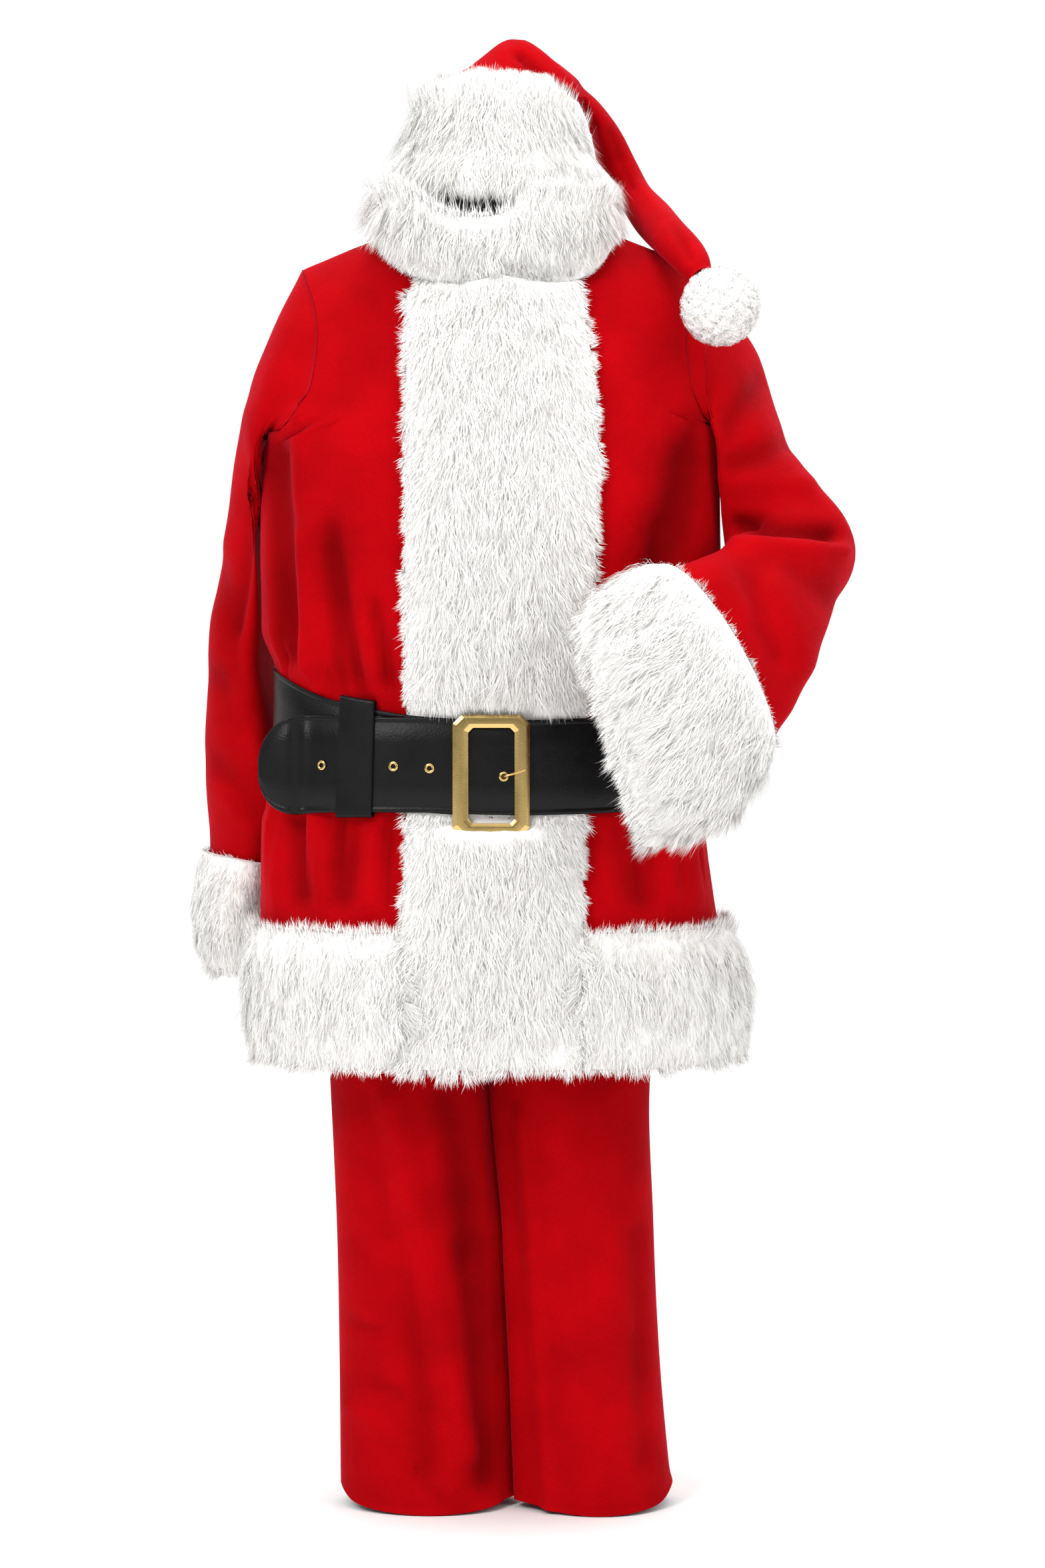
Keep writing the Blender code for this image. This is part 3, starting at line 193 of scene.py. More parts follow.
SLEEVE_LEFT = [
    Ring(0.228, 0.000, 1.428, 0.254, -0.004, 1.233, 0.100),
    Ring(0.258, -0.002, 1.378, 0.266, 0.008, 1.198, 0.092),
    Ring(0.290, -0.006, 1.310, 0.272, 0.006, 1.168, 0.086),
    Ring(0.326, -0.010, 1.236, 0.272, -0.008, 1.140, 0.080),
    Ring(0.368, -0.020, 1.165, 0.270, -0.040, 1.118, 0.074),
    Ring(0.402, -0.050, 1.098, 0.258, -0.086, 1.102, 0.068),
    Ring(0.372, -0.116, 1.036, 0.236, -0.146, 1.096, 0.062),
    Ring(0.334, -0.174, 0.962, 0.212, -0.198, 1.092, 0.056),
    Ring(0.292, -0.222, 0.888, 0.182, -0.242, 1.082, 0.051),
    Ring(0.240, -0.252, 0.830, 0.144, -0.262, 1.062, 0.048),
    Ring(0.180, -0.256, 0.794, 0.104, -0.258, 1.036, 0.046),
]
CUFF_START = 0.80
CUFF_GAP = {-1: 0.0026, 1: 0.0011}
CUFF_OVERHANG = {-1: 0.010, 1: 0.022}
STRIP_GAP = 0.0014

# Legs: the middle and half width of each leg, the shared half depth and shift
Leg = namedtuple("Leg", "height middle half_width half_depth shift")
LEG_RIGHT = [
    Leg(0.000, -0.0845, 0.1035, 0.078, 0.010),
    Leg(0.150, -0.0880, 0.1010, 0.078, 0.010),
    Leg(0.330, -0.0935, 0.0985, 0.079, 0.008),
    Leg(0.520, -0.1040, 0.0960, 0.084, 0.002),
    Leg(0.640, -0.1030, 0.1010, 0.104, -0.002),
    Leg(0.700, -0.0940, 0.1160, 0.118, -0.004),
    Leg(0.760, -0.0500, 0.1700, 0.128, -0.006),
    Leg(0.820, -0.0200, 0.2120, 0.135, -0.009),
    Leg(0.860, -0.0160, 0.2388, 0.1398, -0.010),
]
LEG_LEFT = [
    Leg(0.000, 0.1100, 0.0890, 0.078, 0.006),
    Leg(0.150, 0.1005, 0.0845, 0.078, 0.006),
    Leg(0.330, 0.0920, 0.0840, 0.079, 0.004),
    Leg(0.520, 0.0840, 0.0895, 0.084, 0.000),
    Leg(0.640, 0.0960, 0.0975, 0.104, -0.002),
    Leg(0.700, 0.0800, 0.1140, 0.118, -0.004),
    Leg(0.760, 0.0300, 0.1640, 0.128, -0.006),
    Leg(0.820, -0.0080, 0.2060, 0.135, -0.009),
    Leg(0.860, -0.0160, 0.2388, 0.1398, -0.010),
]
Division = namedtuple("Division", "height x")
LEG_DIVISION = [
    Division(0.000, 0.0205),
    Division(0.150, 0.0145),
    Division(0.330, 0.0065),
    Division(0.520, -0.0070),
    Division(0.640, -0.0015),
    Division(0.700, 0.0000),
    Division(0.860, 0.0000),
]

# Hat band: outer size of the fur, and crown rings by their two ends as seen from the front
Band = namedtuple("Band", "rise middle half_width half_depth wall")
HAT_BAND_LOW, HAT_BAND_HEIGHT = 1.5054, 0.144
HAT_BAND = [
    Band(0.00, -0.009, 0.134, 0.112, 0.020),
    Band(0.10, -0.006, 0.143, 0.120, 0.028),
    Band(0.25, -0.005, 0.137, 0.118, 0.030),
    Band(0.42, -0.004, 0.118, 0.106, 0.026),
    Band(0.66, -0.003, 0.103, 0.095, 0.022),
    Band(0.88, -0.002, 0.094, 0.088, 0.018),
    Band(1.00, -0.002, 0.082, 0.078, 0.008),
]
HatRing = namedtuple("HatRing", "left_x left_z right_x right_z y half")
HAT_CROWN = [
    HatRing(-0.076, 1.600, 0.072, 1.600, 0.000, 0.068),
    HatRing(-0.068, 1.640, 0.072, 1.640, 0.000, 0.062),
    HatRing(-0.038, 1.658, 0.082, 1.632, 0.008, 0.058),
    HatRing(0.010, 1.693, 0.092, 1.622, 0.020, 0.044),
    HatRing(0.056, 1.670, 0.101, 1.618, 0.050, 0.043),
    HatRing(0.096, 1.643, 0.106, 1.596, 0.082, 0.040),
    HatRing(0.134, 1.603, 0.112, 1.560, 0.098, 0.035),
    HatRing(0.158, 1.560, 0.122, 1.536, 0.098, 0.031),
    HatRing(0.176, 1.524, 0.140, 1.506, 0.074, 0.027),
    HatRing(0.200, 1.492, 0.156, 1.474, 0.016, 0.023),
    HatRing(0.218, 1.462, 0.175, 1.444, -0.060, 0.020),
    HatRing(0.231, 1.437, 0.196, 1.419, -0.100, 0.016),
    HatRing(0.2355, 1.416, 0.2140, 1.4044, -0.1240, 0.011),
]
# Shares of the crown's length where the peak ends and where the hanging tail starts
CROWN_PEAK_END, TAIL_START = 0.40, 0.60
POMPOM_PLACE = (0.2437, -0.1484, 1.3749)
POMPOM_CORE = 0.038

# The collar's height at the top, its wall, the slit's depth and the lean to the wearer's right
COLLAR_TOP, COLLAR_WALL, SLIT_DEPTH, COLLAR_LEAN = 1.5050, 0.030, 0.028, 0.006


def read(rows, column, at):
    """A column of a table at the given places, on a smooth curve through the table's rows."""
    places = np.array([row[0] for row in rows], float)
    values = np.array([getattr(row, column) for row in rows], float)
    slopes = np.gradient(values, places)
    left = np.clip(np.searchsorted(places, at) - 1, 0, len(rows) - 2)
    span = places[left + 1] - places[left]
    t = np.clip((at - places[left]) / span, 0.0, 1.0)
    start, end = values[left], values[left + 1]
    return (start * (1 + 2 * t) * (1 - t) ** 2 + end * t * t * (3 - 2 * t)
            + span * (slopes[left] * t * (1 - t) ** 2 - slopes[left + 1] * t * t * (1 - t)))


def read_along(rows, column, share):
    """A column of a table whose rows follow a path, at shares 0 to 1 of the way."""
    values = np.array([getattr(row, column) for row in rows], float)
    Step = namedtuple("Step", "place value")
    return read([Step(i, value) for i, value in enumerate(values)], "value", share * (len(rows) - 1))


def ease(t):
    """A smooth step: 3t squared less 2t cubed, with t kept between 0 and 1."""
    t = np.clip(t, 0.0, 1.0)
    return t * t * (3 - 2 * t)


def power(value, exponent):
    """A power that keeps the sign: the size to the exponent, times the sign."""
    return np.sign(value) * np.abs(value) ** exponent


def unit(vectors):
    """Each vector divided by its length."""
    return vectors / np.maximum(np.linalg.norm(vectors, axis=-1, keepdims=True), 1e-9)


def shoulder_line(x):
    """Height of the shoulder seam: falls evenly with the distance from the neck point."""
    return NECK_POINT_HEIGHT - SHOULDER_SLOPE * (np.abs(x) - NECK_HALF_WIDTH)


def belt_line(turn):
    """Height of the strap's middle at a turn."""
    wrapped = (np.degrees(turn) + 180) % 360 - 180
    return read(BELT_LINE, "height", wrapped)


def belt_rise(turn, level):
    """How far the belt's line carries a level up or down at a turn."""
    return (belt_line(turn) - BELT_MIDDLE) * np.exp(-(((level - BELT_MIDDLE) / 0.13) ** 4))


def torso(turn, level):
    """The jacket's surface: a squared oval at each level, pulled in along the belt's line.

    Above the armpits it is rounded over towards the shoulder line.
    """
    height = level + belt_rise(turn, level)
    x = read(TORSO, "middle", level) + read(TORSO, "half_width", level) * power(np.sin(turn), 2 / SQUARENESS)
    fall = np.clip((shoulder_line(x) - height) / SHOULDER_ROUND, 0.0, 1.0)
    rounding = np.sqrt(1 - (1 - fall) ** 2)
    depth = read(TORSO, "half_depth", level) * power(np.cos(turn), 2 / SQUARENESS)
    y = (read(TORSO, "shift", level) - depth) * rounding
    return np.stack(np.broadcast_arrays(x, y, height), -1)


def torso_lifted(turn, level, lift):
    """The torso's surface moved out along its normal."""
    turn, level, lift = np.broadcast_arrays(turn, level, lift)
    step_turn, step_level = 0.004, 0.002
    across = torso(turn + step_turn, level) - torso(turn - step_turn, level)
    up = torso(turn, level + step_level) - torso(turn, level - step_level)
    return torso(turn, level) + unit(np.cross(across, up)) * lift[..., None]


def turn_at(x, level):
    """The front turn whose point on the torso lies at x."""
    share = (x - read(TORSO, "middle", level)) / read(TORSO, "half_width", level)
    return np.arcsin(power(np.clip(share, -1, 1), SQUARENESS / 2))


def relief(folds, x, height, turn):
    """Height of the folds: a soft ridge or trough along each line, flat at belt, fur and side seams."""
    total = np.zeros(np.shape(x))
    for fold in folds:
        ends = np.array([fold.x2 - fold.x1, fold.height2 - fold.height1])
        along = ((x - fold.x1) * ends[0] + (height - fold.height1) * ends[1]) / (ends @ ends)
        along = np.clip(along, 0, 1)
        away = np.hypot(x - fold.x1 - along * ends[0], height - fold.height1 - along * ends[1])
        total += fold.rise * np.exp(-((away / fold.width) ** 2))
    to_side = np.abs(np.abs(np.degrees(turn)) - 90)
    belt = np.exp(-(((height - belt_line(turn)) / 0.068) ** 4))
    return total * ease(to_side / 10) * (1 - belt) * ease((height - 0.690) / 0.03)


def panel_point(side, face, u, v):
    """A point of a jacket half: u from its centre line to side seam and armhole, v from hem to shoulder.

    side is -1 on the wearer's right and 1 on the left; face is 1 at the front and -1 at the back.
    """
    body_share = BODY_ROWS / (BODY_ROWS + ARMHOLE_ROWS)
    tip = shoulder_line(SHOULDER_HALF_WIDTH)
    climb = np.sin(np.radians(90) * np.clip((v - body_share) / (1 - body_share), 0, 1))
    below = np.clip(v / body_share, 0, 1) * BODY_ROWS
    edge = np.interp(below, np.arange(BODY_ROWS + 1), BODY_LEVELS) + (tip - ARMPIT_HEIGHT) * climb
    reach = side * read(ARMHOLE, "distance", edge) - read(TORSO, "middle", edge)
    share = np.clip(np.abs(reach) / read(TORSO, "half_width", edge), 0, 1)
    edge_turn = np.where(climb > 0, np.arcsin(share ** (SQUARENESS / 2)), np.radians(90))
    neck_share = NECK_COLUMNS / HALF_COLUMNS
    neck_angle = np.radians(90) * (1 - (1 - np.clip(u / neck_share, 0, 1)) ** 1.5)
    past_neck = (SHOULDER_HALF_WIDTH - NECK_HALF_WIDTH) * (u - neck_share) / (1 - neck_share)
    top_x = np.where(u < neck_share, NECK_HALF_WIDTH * np.sin(neck_angle), NECK_HALF_WIDTH + past_neck)
    drop = NECK_DROP_FRONT if face > 0 else NECK_DROP_BACK
    scoop = drop * np.sqrt(np.clip(1 - (top_x / NECK_HALF_WIDTH) ** 2, 0, 1))
    top_height = shoulder_line(top_x) - scoop
    top_turn = np.arcsin(np.clip(top_x / 0.250, 0, 1) ** (SQUARENESS / 2))
    tip_turn = np.arcsin((SHOULDER_HALF_WIDTH / 0.250) ** (SQUARENESS / 2))
    upper = ease((v - 0.45) / 0.55)
    turn = (1 - upper) * u * edge_turn + upper * top_turn * edge_turn / tip_turn
    height = edge + upper * (top_height - tip)
    turn = side * turn if face > 0 else side * (np.pi - turn)
    return torso(turn, height), turn



def ring_points(rows, share, angle, side):
    """Points of the sleeve's ovals: angle 0 at the outer end, 90 degrees in front, 180 at the inner end."""
    ends = {}
    for end in ("outer", "inner"):
        ends[end] = np.stack([read_along(rows, f"{end}_{axis}", share) for axis in "xyz"], -1)
    middle = (ends["outer"] + ends["inner"]) / 2
    long_way = (ends["outer"] - ends["inner"]) / 2
    path = unit(np.gradient(middle, axis=0))
    path[0] = path[1]
    if side > 0:
        thick_way = unit(np.cross(long_way, path))
        thick_way *= np.where(thick_way[:, 1:2] > 0, -1, 1)
    else:
        front = np.array([0.0, -1.0, 0.0])
        thick_way = unit(front - unit(long_way) * (unit(long_way) @ front)[:, None])
    thick_way *= read_along(rows, "half", share)[:, None]
    cosine, sine = np.cos(angle)[None, :, None], np.sin(angle)[None, :, None]
    return middle[:, None] + long_way[:, None] * cosine + thick_way[:, None] * sine



def rounded(share):
    """A profile that is 0 at both edges and 1 between them."""
    return np.clip(1 - np.abs(2 * share - 1) ** 3, 0, 1)


def lumps(a, b):
    """Small uneven rises of the fur, between -1 and 1."""
    return (np.sin(5.3 * a + 1.7 * b) + np.sin(9.1 * a - 3.1 * b + 0.8) + np.sin(2.9 * a + 6.7 * b + 2.1)) / 3



def strip_edges(height):
    """Left and right edge of the front fur strip, as x."""
    right = np.interp(height, [0.52, 0.68, 0.80, 1.07, 1.20, 1.28, 1.36, 1.42],
                      [0.086, 0.090, 0.095, 0.106, 0.112, 0.108, 0.096, 0.090])
    return np.interp(height, [1.36, 1.42], [-0.110, -0.092]), right



def belt_lift(turn):
    """How far the strap's first layer stands off the cloth: it rides over the front fur."""
    return 0.0012 + 0.0034 * np.exp(-((turn / np.radians(46)) ** 4))


def level_at(turn, height):
    """The level whose height at a turn is the one given."""
    return height - belt_rise(turn, height - belt_rise(turn, height))


def strap_layer(turn, level, half, lift):
    """Outer top, outer bottom, inner bottom and inner top of the strap at each turn."""
    corners = []
    for up, extra in ((1, STRAP_THICKNESS), (-1, STRAP_THICKNESS), (-1, 0.0), (1, 0.0)):
        corners.append(torso_lifted(turn, level + up * half, lift + extra))
    return np.stack(corners, -2)


def second_lift(turn):
    """How far the strap's free tail stands off the cloth: it lies on the first layer."""
    climb = ease((np.degrees(-turn) + 25) / 25)
    return belt_lift(turn) + climb * (STRAP_THICKNESS + 0.0006)


def second_level(turn):
    """Level of the tail's middle: it keeps its height while the layer under it climbs."""
    keeps = ease((np.degrees(-turn) + 10) / 30)
    return BELT_MIDDLE + keeps * (level_at(turn, TAIL_HEIGHT) - BELT_MIDDLE)



def buckle_plane():
    """The y of the buckle's back, in front of the strap's second layer."""
    return float(torso(0.0, 0.864)[1]) - BUCKLE_LIFT


def rectangle(middle_x, middle_z, half_width, half_height, cut):
    """Eight corners of a rectangle with cut corners, as x and z."""
    signs = np.array([(1, -1), (1, 1), (-1, 1), (-1, -1)])
    corners = []
    for index, (sx, sz) in enumerate(signs):
        long_first = index % 2 == 0
        pair = [(sx * (half_width - cut), sz * half_height), (sx * half_width, sz * (half_height - cut))]
        corners += pair if long_first else pair[::-1]
    return np.array(corners) + (middle_x, middle_z)



def leg_point(rows, side, face, u, v):
    """A point of a trouser panel: u from inseam or crotch seam to outseam, v from hem to waist."""
    height = v * (WAIST_LOW - 2 * LAYER_GAP)
    middle, half_width = read(rows, "middle", height), read(rows, "half_width", height)
    exponent = 2 / np.interp(height, [0.0, CROTCH_HEIGHT, 0.80], [2.0, 2.1, SQUARENESS])
    division = read(LEG_DIVISION, "x", height)
    inner_share = np.clip((SEAM + side * (division - middle)) / half_width, -1, 1)
    start = np.arcsin(power(inner_share, 1 / exponent))
    turn = start + u * (np.pi / 2 - start)
    x = middle + side * half_width * power(np.sin(turn), exponent)
    y = read(rows, "shift", height) - face * read(rows, "half_depth", height) * power(np.cos(turn), exponent)
    lift = 0.010 * ease((0.03 - height) / 0.03) * np.sin(turn) ** 2
    body_turn = side * turn if face > 0 else side * (np.pi - turn)
    rise = belt_rise(body_turn,
                     np.full_like(body_turn, WAIST_LOW)) * ease((height - 0.74) / (WAIST_LOW - 0.75))
    return np.stack(np.broadcast_arrays(x, y, height + lift + rise), -1)


# Largest soft folds as seen from the front or the back, finer than those of the solids
FRONT_CREASES = [
    Fold(-0.268, 1.200, -0.252, 1.010, 0.0090, -0.006),
    Fold(-0.200, 1.110, -0.186, 0.950, 0.0105, -0.004),
    Fold(-0.160, 1.070, -0.142, 0.950, 0.0090, 0.004),
    Fold(-0.230, 1.360, -0.226, 1.160, 0.0090, 0.003),
    Fold(-0.222, 1.120, -0.214, 0.860, 0.0090, 0.003),
    Fold(-0.175, 1.230, -0.150, 1.110, 0.0240, 0.003),
    Fold(0.140, 1.280, 0.150, 1.120, 0.0240, 0.003),
    Fold(0.175, 1.130, 0.165, 1.040, 0.0135, -0.003),
    Fold(0.224, 1.250, 0.206, 1.120, 0.0150, -0.005),
    Fold(-0.262, 0.800, -0.256, 0.700, 0.0120, 0.004),
    Fold(-0.208, 0.810, -0.206, 0.700, 0.0120, 0.004),
    Fold(-0.150, 0.800, -0.146, 0.700, 0.0120, 0.004),
    Fold(-0.126, 0.800, -0.124, 0.700, 0.0090, -0.004),
    Fold(0.120, 0.800, 0.126, 0.700, 0.0120, 0.003),
    Fold(0.186, 0.800, 0.190, 0.700, 0.0120, 0.004),
]
BACK_CREASES = [
    Fold(-0.140, 1.200, -0.128, 0.960, 0.0135, 0.004),
    Fold(-0.045, 1.160, -0.038, 0.960, 0.0135, 0.004),
    Fold(0.050, 1.180, 0.044, 0.960, 0.0135, 0.004),
    Fold(0.145, 1.200, 0.130, 0.960, 0.0135, 0.004),
    Fold(-0.200, 1.330, -0.110, 1.300, 0.0240, -0.004),
    Fold(0.200, 1.330, 0.110, 1.300, 0.0240, -0.004),
]
SLEEVE_CREASES = {
    -1: [Fold(-0.268, 1.215, -0.304, 1.020, 0.0135, -0.010),
         Fold(-0.300, 1.260, -0.318, 1.120, 0.0180, 0.006),
         Fold(-0.285, 1.130, -0.270, 1.020, 0.0120, 0.005),
         Fold(-0.330, 1.080, -0.300, 0.980, 0.0150, -0.006),
         Fold(-0.335, 0.960, -0.296, 0.900, 0.0150, -0.006),
         Fold(-0.310, 0.930, -0.275, 0.860, 0.0135, 0.005),
         Fold(-0.332, 0.860, -0.290, 0.800, 0.0150, -0.005),
         Fold(-0.318, 0.820, -0.280, 0.770, 0.0120, 0.004)],
    1: [Fold(0.252, 1.240, 0.300, 1.300, 0.0150, -0.008),
        Fold(0.262, 1.200, 0.330, 1.230, 0.0135, -0.008),
        Fold(0.270, 1.180, 0.345, 1.180, 0.0120, 0.005),
        Fold(0.262, 1.136, 0.372, 1.124, 0.009, -0.016),
        Fold(0.258, 1.112, 0.384, 1.104, 0.009, 0.009),
        Fold(0.330, 1.080, 0.392, 1.030, 0.0180, -0.005),
        Fold(0.300, 1.060, 0.330, 0.980, 0.0180, 0.005),
        Fold(0.270, 1.080, 0.300, 0.990, 0.0165, -0.005),
        Fold(0.345, 1.020, 0.315, 0.930, 0.0165, 0.004),
        Fold(0.235, 1.085, 0.262, 1.040, 0.0150, 0.004)],
}
CROWN_CREASES = [
    Fold(0.022, 1.668, 0.062, 1.628, 0.006, -0.009),
    Fold(0.030, 1.690, 0.084, 1.642, 0.008, 0.005),
    Fold(-0.030, 1.650, -0.044, 1.600, 0.010, -0.004),
    Fold(0.000, 1.672, -0.010, 1.600, 0.010, 0.004),
    Fold(0.030, 1.640, 0.022, 1.600, 0.009, -0.004),
    Fold(0.094, 1.640, 0.108, 1.600, 0.007, -0.004),
    Fold(0.128, 1.590, 0.150, 1.530, 0.008, -0.004),
    Fold(0.160, 1.530, 0.190, 1.480, 0.007, 0.003),
    Fold(0.190, 1.480, 0.212, 1.430, 0.006, -0.003),
]
TROUSER_CREASES = [
    Fold(0.022, 0.459, 0.036, 0.297, 0.007, 0.006),
    Fold(0.036, 0.297, 0.054, 0.000, 0.007, 0.006),
    Fold(-0.126, 0.477, -0.072, 0.207, 0.018, 0.010),
    Fold(-0.072, 0.207, -0.036, 0.072, 0.016, 0.008),
    Fold(-0.060, 0.480, -0.030, 0.300, 0.020, -0.010),
    Fold(-0.030, 0.300, -0.012, 0.040, 0.020, -0.014),
    Fold(-0.105, 0.330, -0.085, 0.060, 0.018, -0.007),
    Fold(-0.189, 0.220, -0.140, 0.212, 0.007, -0.004),
    Fold(-0.150, 0.150, -0.115, 0.140, 0.007, -0.004),
    Fold(-0.180, 0.120, -0.130, 0.096, 0.008, 0.003),
    Fold(-0.100, 0.050, -0.070, 0.020, 0.008, -0.004),
    Fold(0.110, 0.420, 0.120, 0.080, 0.018, 0.004),
    Fold(0.155, 0.320, 0.165, 0.060, 0.012, -0.004),
    Fold(-0.150, 0.480, -0.130, 0.330, 0.014, -0.004),
]


def add_mesh(name, points, four_sided, three_sided=(), values=None, smooth=True, shading=None):
    """One piece from points with heights above the trouser hem, and its faces as point numbers."""
    placed = np.asarray(points, np.float32).reshape(-1, 3) - np.float32([0, 0, ORIGIN_HEIGHT])
    fours = np.asarray(four_sided, np.int32).reshape(-1, 4)
    threes = np.asarray(three_sided, np.int32).reshape(-1, 3)
    mesh = bpy.data.meshes.new(name)
    mesh.vertices.add(len(placed))
    mesh.vertices.foreach_set("co", placed.ravel())
    mesh.loops.add(fours.size + threes.size)
    mesh.loops.foreach_set("vertex_index", np.concatenate([fours.ravel(), threes.ravel()]))
    mesh.polygons.add(len(fours) + len(threes))
    starts = np.concatenate([np.arange(len(fours)) * 4, fours.size + np.arange(len(threes)) * 3])
    mesh.polygons.foreach_set("loop_start", starts.astype(np.int32))
    mesh.polygons.foreach_set("use_smooth", np.full(len(starts), smooth))
    mesh.update(calc_edges=True)
    mesh.validate()
    for key, numbers in (values or {}).items():
        attribute = mesh.attributes.new(key, "FLOAT", "POINT")
        attribute.data.foreach_set("value", np.asarray(numbers, np.float32))
    if shading is not None:
        mesh.normals_split_custom_set_from_vertices(np.asarray(shading, np.float32))
    piece = bpy.data.objects.new(name, mesh)
    bpy.context.scene.collection.objects.link(piece)
    return piece


def quads(grid):
    """The faces between neighbours of a grid of point numbers."""
    return np.stack([grid[:-1, :-1], grid[:-1, 1:], grid[1:, 1:], grid[1:, :-1]], -1).reshape(-1, 4)


def volume_sign(points, faces):
    """Positive if the four-sided faces of a closed surface point outwards."""
    a, b, c, d = (points[faces[:, i]] for i in range(4))
    return np.sign((np.cross(a, b) * c).sum() + (np.cross(a, c) * d).sum())


def wall(outer, inner, around=False):
    """Points and faces of a closed wall between two grids. Around, its last column joins its first."""
    rows, columns = outer.shape[:2]
    first = np.arange(rows * columns).reshape(rows, columns)
    second = first + rows * columns
    if around:
        first, second = (np.hstack([grid, grid[:, :1]]) for grid in (first, second))
    faces = [quads(first), quads(second)[:, ::-1]]
    rims = [(first[0], second[0]), (second[-1], first[-1])]
    if not around:
        rims += [(second[:, 0], first[:, 0]), (first[:, -1], second[:, -1])]
    faces += [quads(np.array(rim)) for rim in rims]
    faces = np.concatenate(faces)
    points = np.concatenate([outer.reshape(-1, 3), inner.reshape(-1, 3)])
    return points, faces if volume_sign(points, faces) > 0 else faces[:, ::-1]


def finish_piece(piece, node, paint):
    """Gives the piece its material, hangs it under the root body and hides the solid it stands for."""
    piece.data.materials.append(paint)
    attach(piece, "root")
    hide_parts(node)
    return piece


def cloth_piece(node, outer, inner, raised, around, held, rests_on, trims=()):
    """One cut panel of velour as a thin wall.

    Raised is the height of its folds, which the material uses for painted shade in their hollows.
    """
    # The fold attribute carries the fold height for the velour's painted shade in the troughs.
    fold = np.clip(0.5 + np.broadcast_to(raised, outer.shape[:2]).ravel() / FOLD_SPAN, 0, 1)
    piece = add_mesh(f"{node}_velour", *wall(outer, inner, around), values={"fold": np.tile(fold, 2)})
    finish_piece(piece, node, velour())
    return piece


def surface_normals(points, towards):
    """Unit normals of a grid of points, on the side where the dot product with towards is positive."""
    normal = unit(np.cross(np.gradient(points, axis=1), np.gradient(points, axis=0)))
    return normal * np.where((normal * towards).sum(-1, keepdims=True) < 0, -1, 1)


# Cloth of the jacket


def creases(folds, along, across):
    """Height of folds on a sheet measured in metres: a ridge or trough along each fold's line."""
    total = np.zeros(np.broadcast(along, across).shape)
    for fold in folds:
        ends = np.array([fold.x2 - fold.x1, fold.height2 - fold.height1])
        share = ((along - fold.x1) * ends[0] + (across - fold.height1) * ends[1]) / (ends @ ends)
        share = np.clip(share, 0, 1)
        away = np.hypot(along - fold.x1 - share * ends[0], across - fold.height1 - share * ends[1])
        total += fold.rise * np.exp(-((away / fold.width) ** 2))
    return total


def ripples(a, b, seed):
    """Slow uneven waves of soft cloth, between about -1 and 1: a sum of bent sine waves."""
    bent = a + 0.035 * np.sin(23 * b + seed)
    skew = b + 0.05 * np.sin(17 * a + 2 * seed)
    return (np.sin(31 * bent + 9 * skew + seed) + 0.8 * np.sin(53 * bent - 14 * skew + 3 * seed)
            + 0.6 * np.sin(19 * skew + 71 * bent + 5 * seed)) / 2.4


def gathers(turn, level):
    """Small uneven pleats that the belt presses into the cloth above and below it."""
    uneven = (np.sin(29 * turn + 1.0) + 0.8 * np.sin(47 * turn + 4.1) + 0.6 * np.sin(71 * turn + 0.4)) / 2.4
    above = np.exp(-(((level - 0.955) / 0.055) ** 2))
    below = np.exp(-(((level - 0.775) / 0.045) ** 2))
    return 0.0065 * uneven * above + 0.0050 * uneven * below


def panel_surface(side, face, u, v):
    """Outer points of a jacket half and their outward directions, folds and pleats included."""
    u, v = np.broadcast_arrays(u, v)
    base, turn = panel_point(side, face, u, v)
    tiny = 1e-3
    across = (panel_point(side, face, np.minimum(u + tiny, 1), v)[0]
              - panel_point(side, face, np.maximum(u - tiny, 0), v)[0])
    up = (panel_point(side, face, u, np.minimum(v + tiny, 1))[0]
          - panel_point(side, face, u, np.maximum(v - tiny, 0))[0])
    normal = unit(np.cross(across, up)) * side * face
    x, height = base[..., 0], base[..., 2]
    coarse = FRONT_FOLDS if face > 0 else BACK_FOLDS
    fine = FRONT_CREASES if face > 0 else BACK_CREASES
    raised = FOLD_DEPTH * relief(coarse + fine, x, height, turn)
    level = height - belt_rise(turn, height)
    belt = np.exp(-(((height - belt_line(turn)) / 0.060) ** 6))
    soft = 0.0022 * ripples(x + 0.4 * base[..., 1], height, 1.7 * side + face)
    calm = ease((height - 0.66) / 0.05) * (1 - belt) * ease((1 - v) / 0.05) * ease((1 - u) / 0.10 + 0.15)
    strip = ease((np.abs(x) - 0.10) / 0.03) if face > 0 else 1.0
    raised = raised + (soft + gathers(turn,
                                      level) * ease(np.abs(np.abs(turn) - np.pi / 2) / 0.1)) * calm * strip
    return base + normal * raised[..., None], normal, raised


def seam_back(points, direction, amount=SEAM / 4):
    """Points moved by a small amount along a direction of length 1, away from a seam."""
    return points + unit(direction) * amount


def jacket_half(side, face, columns, rows):
    """Outer and inner grids of a jacket half with its seams pulled in, the edges rolled softly inwards."""
    u, v = np.linspace(0, 1, columns)[None, :], np.linspace(0, 1, rows)[:, None]
    outer, normal, raised = panel_surface(side, face, u, v)
    roll = 0.0005 * np.exp(-(((1 - u) / 0.02) ** 2)) * np.ones_like(v)
    outer = outer - normal * roll[..., None]
    outer[:, -1] = seam_back(outer[:, -1], outer[:, -2] - outer[:, -1])
    outer[-1] = seam_back(outer[-1], outer[-2] - outer[-1])
    return outer, outer - normal * CLOTH, raised


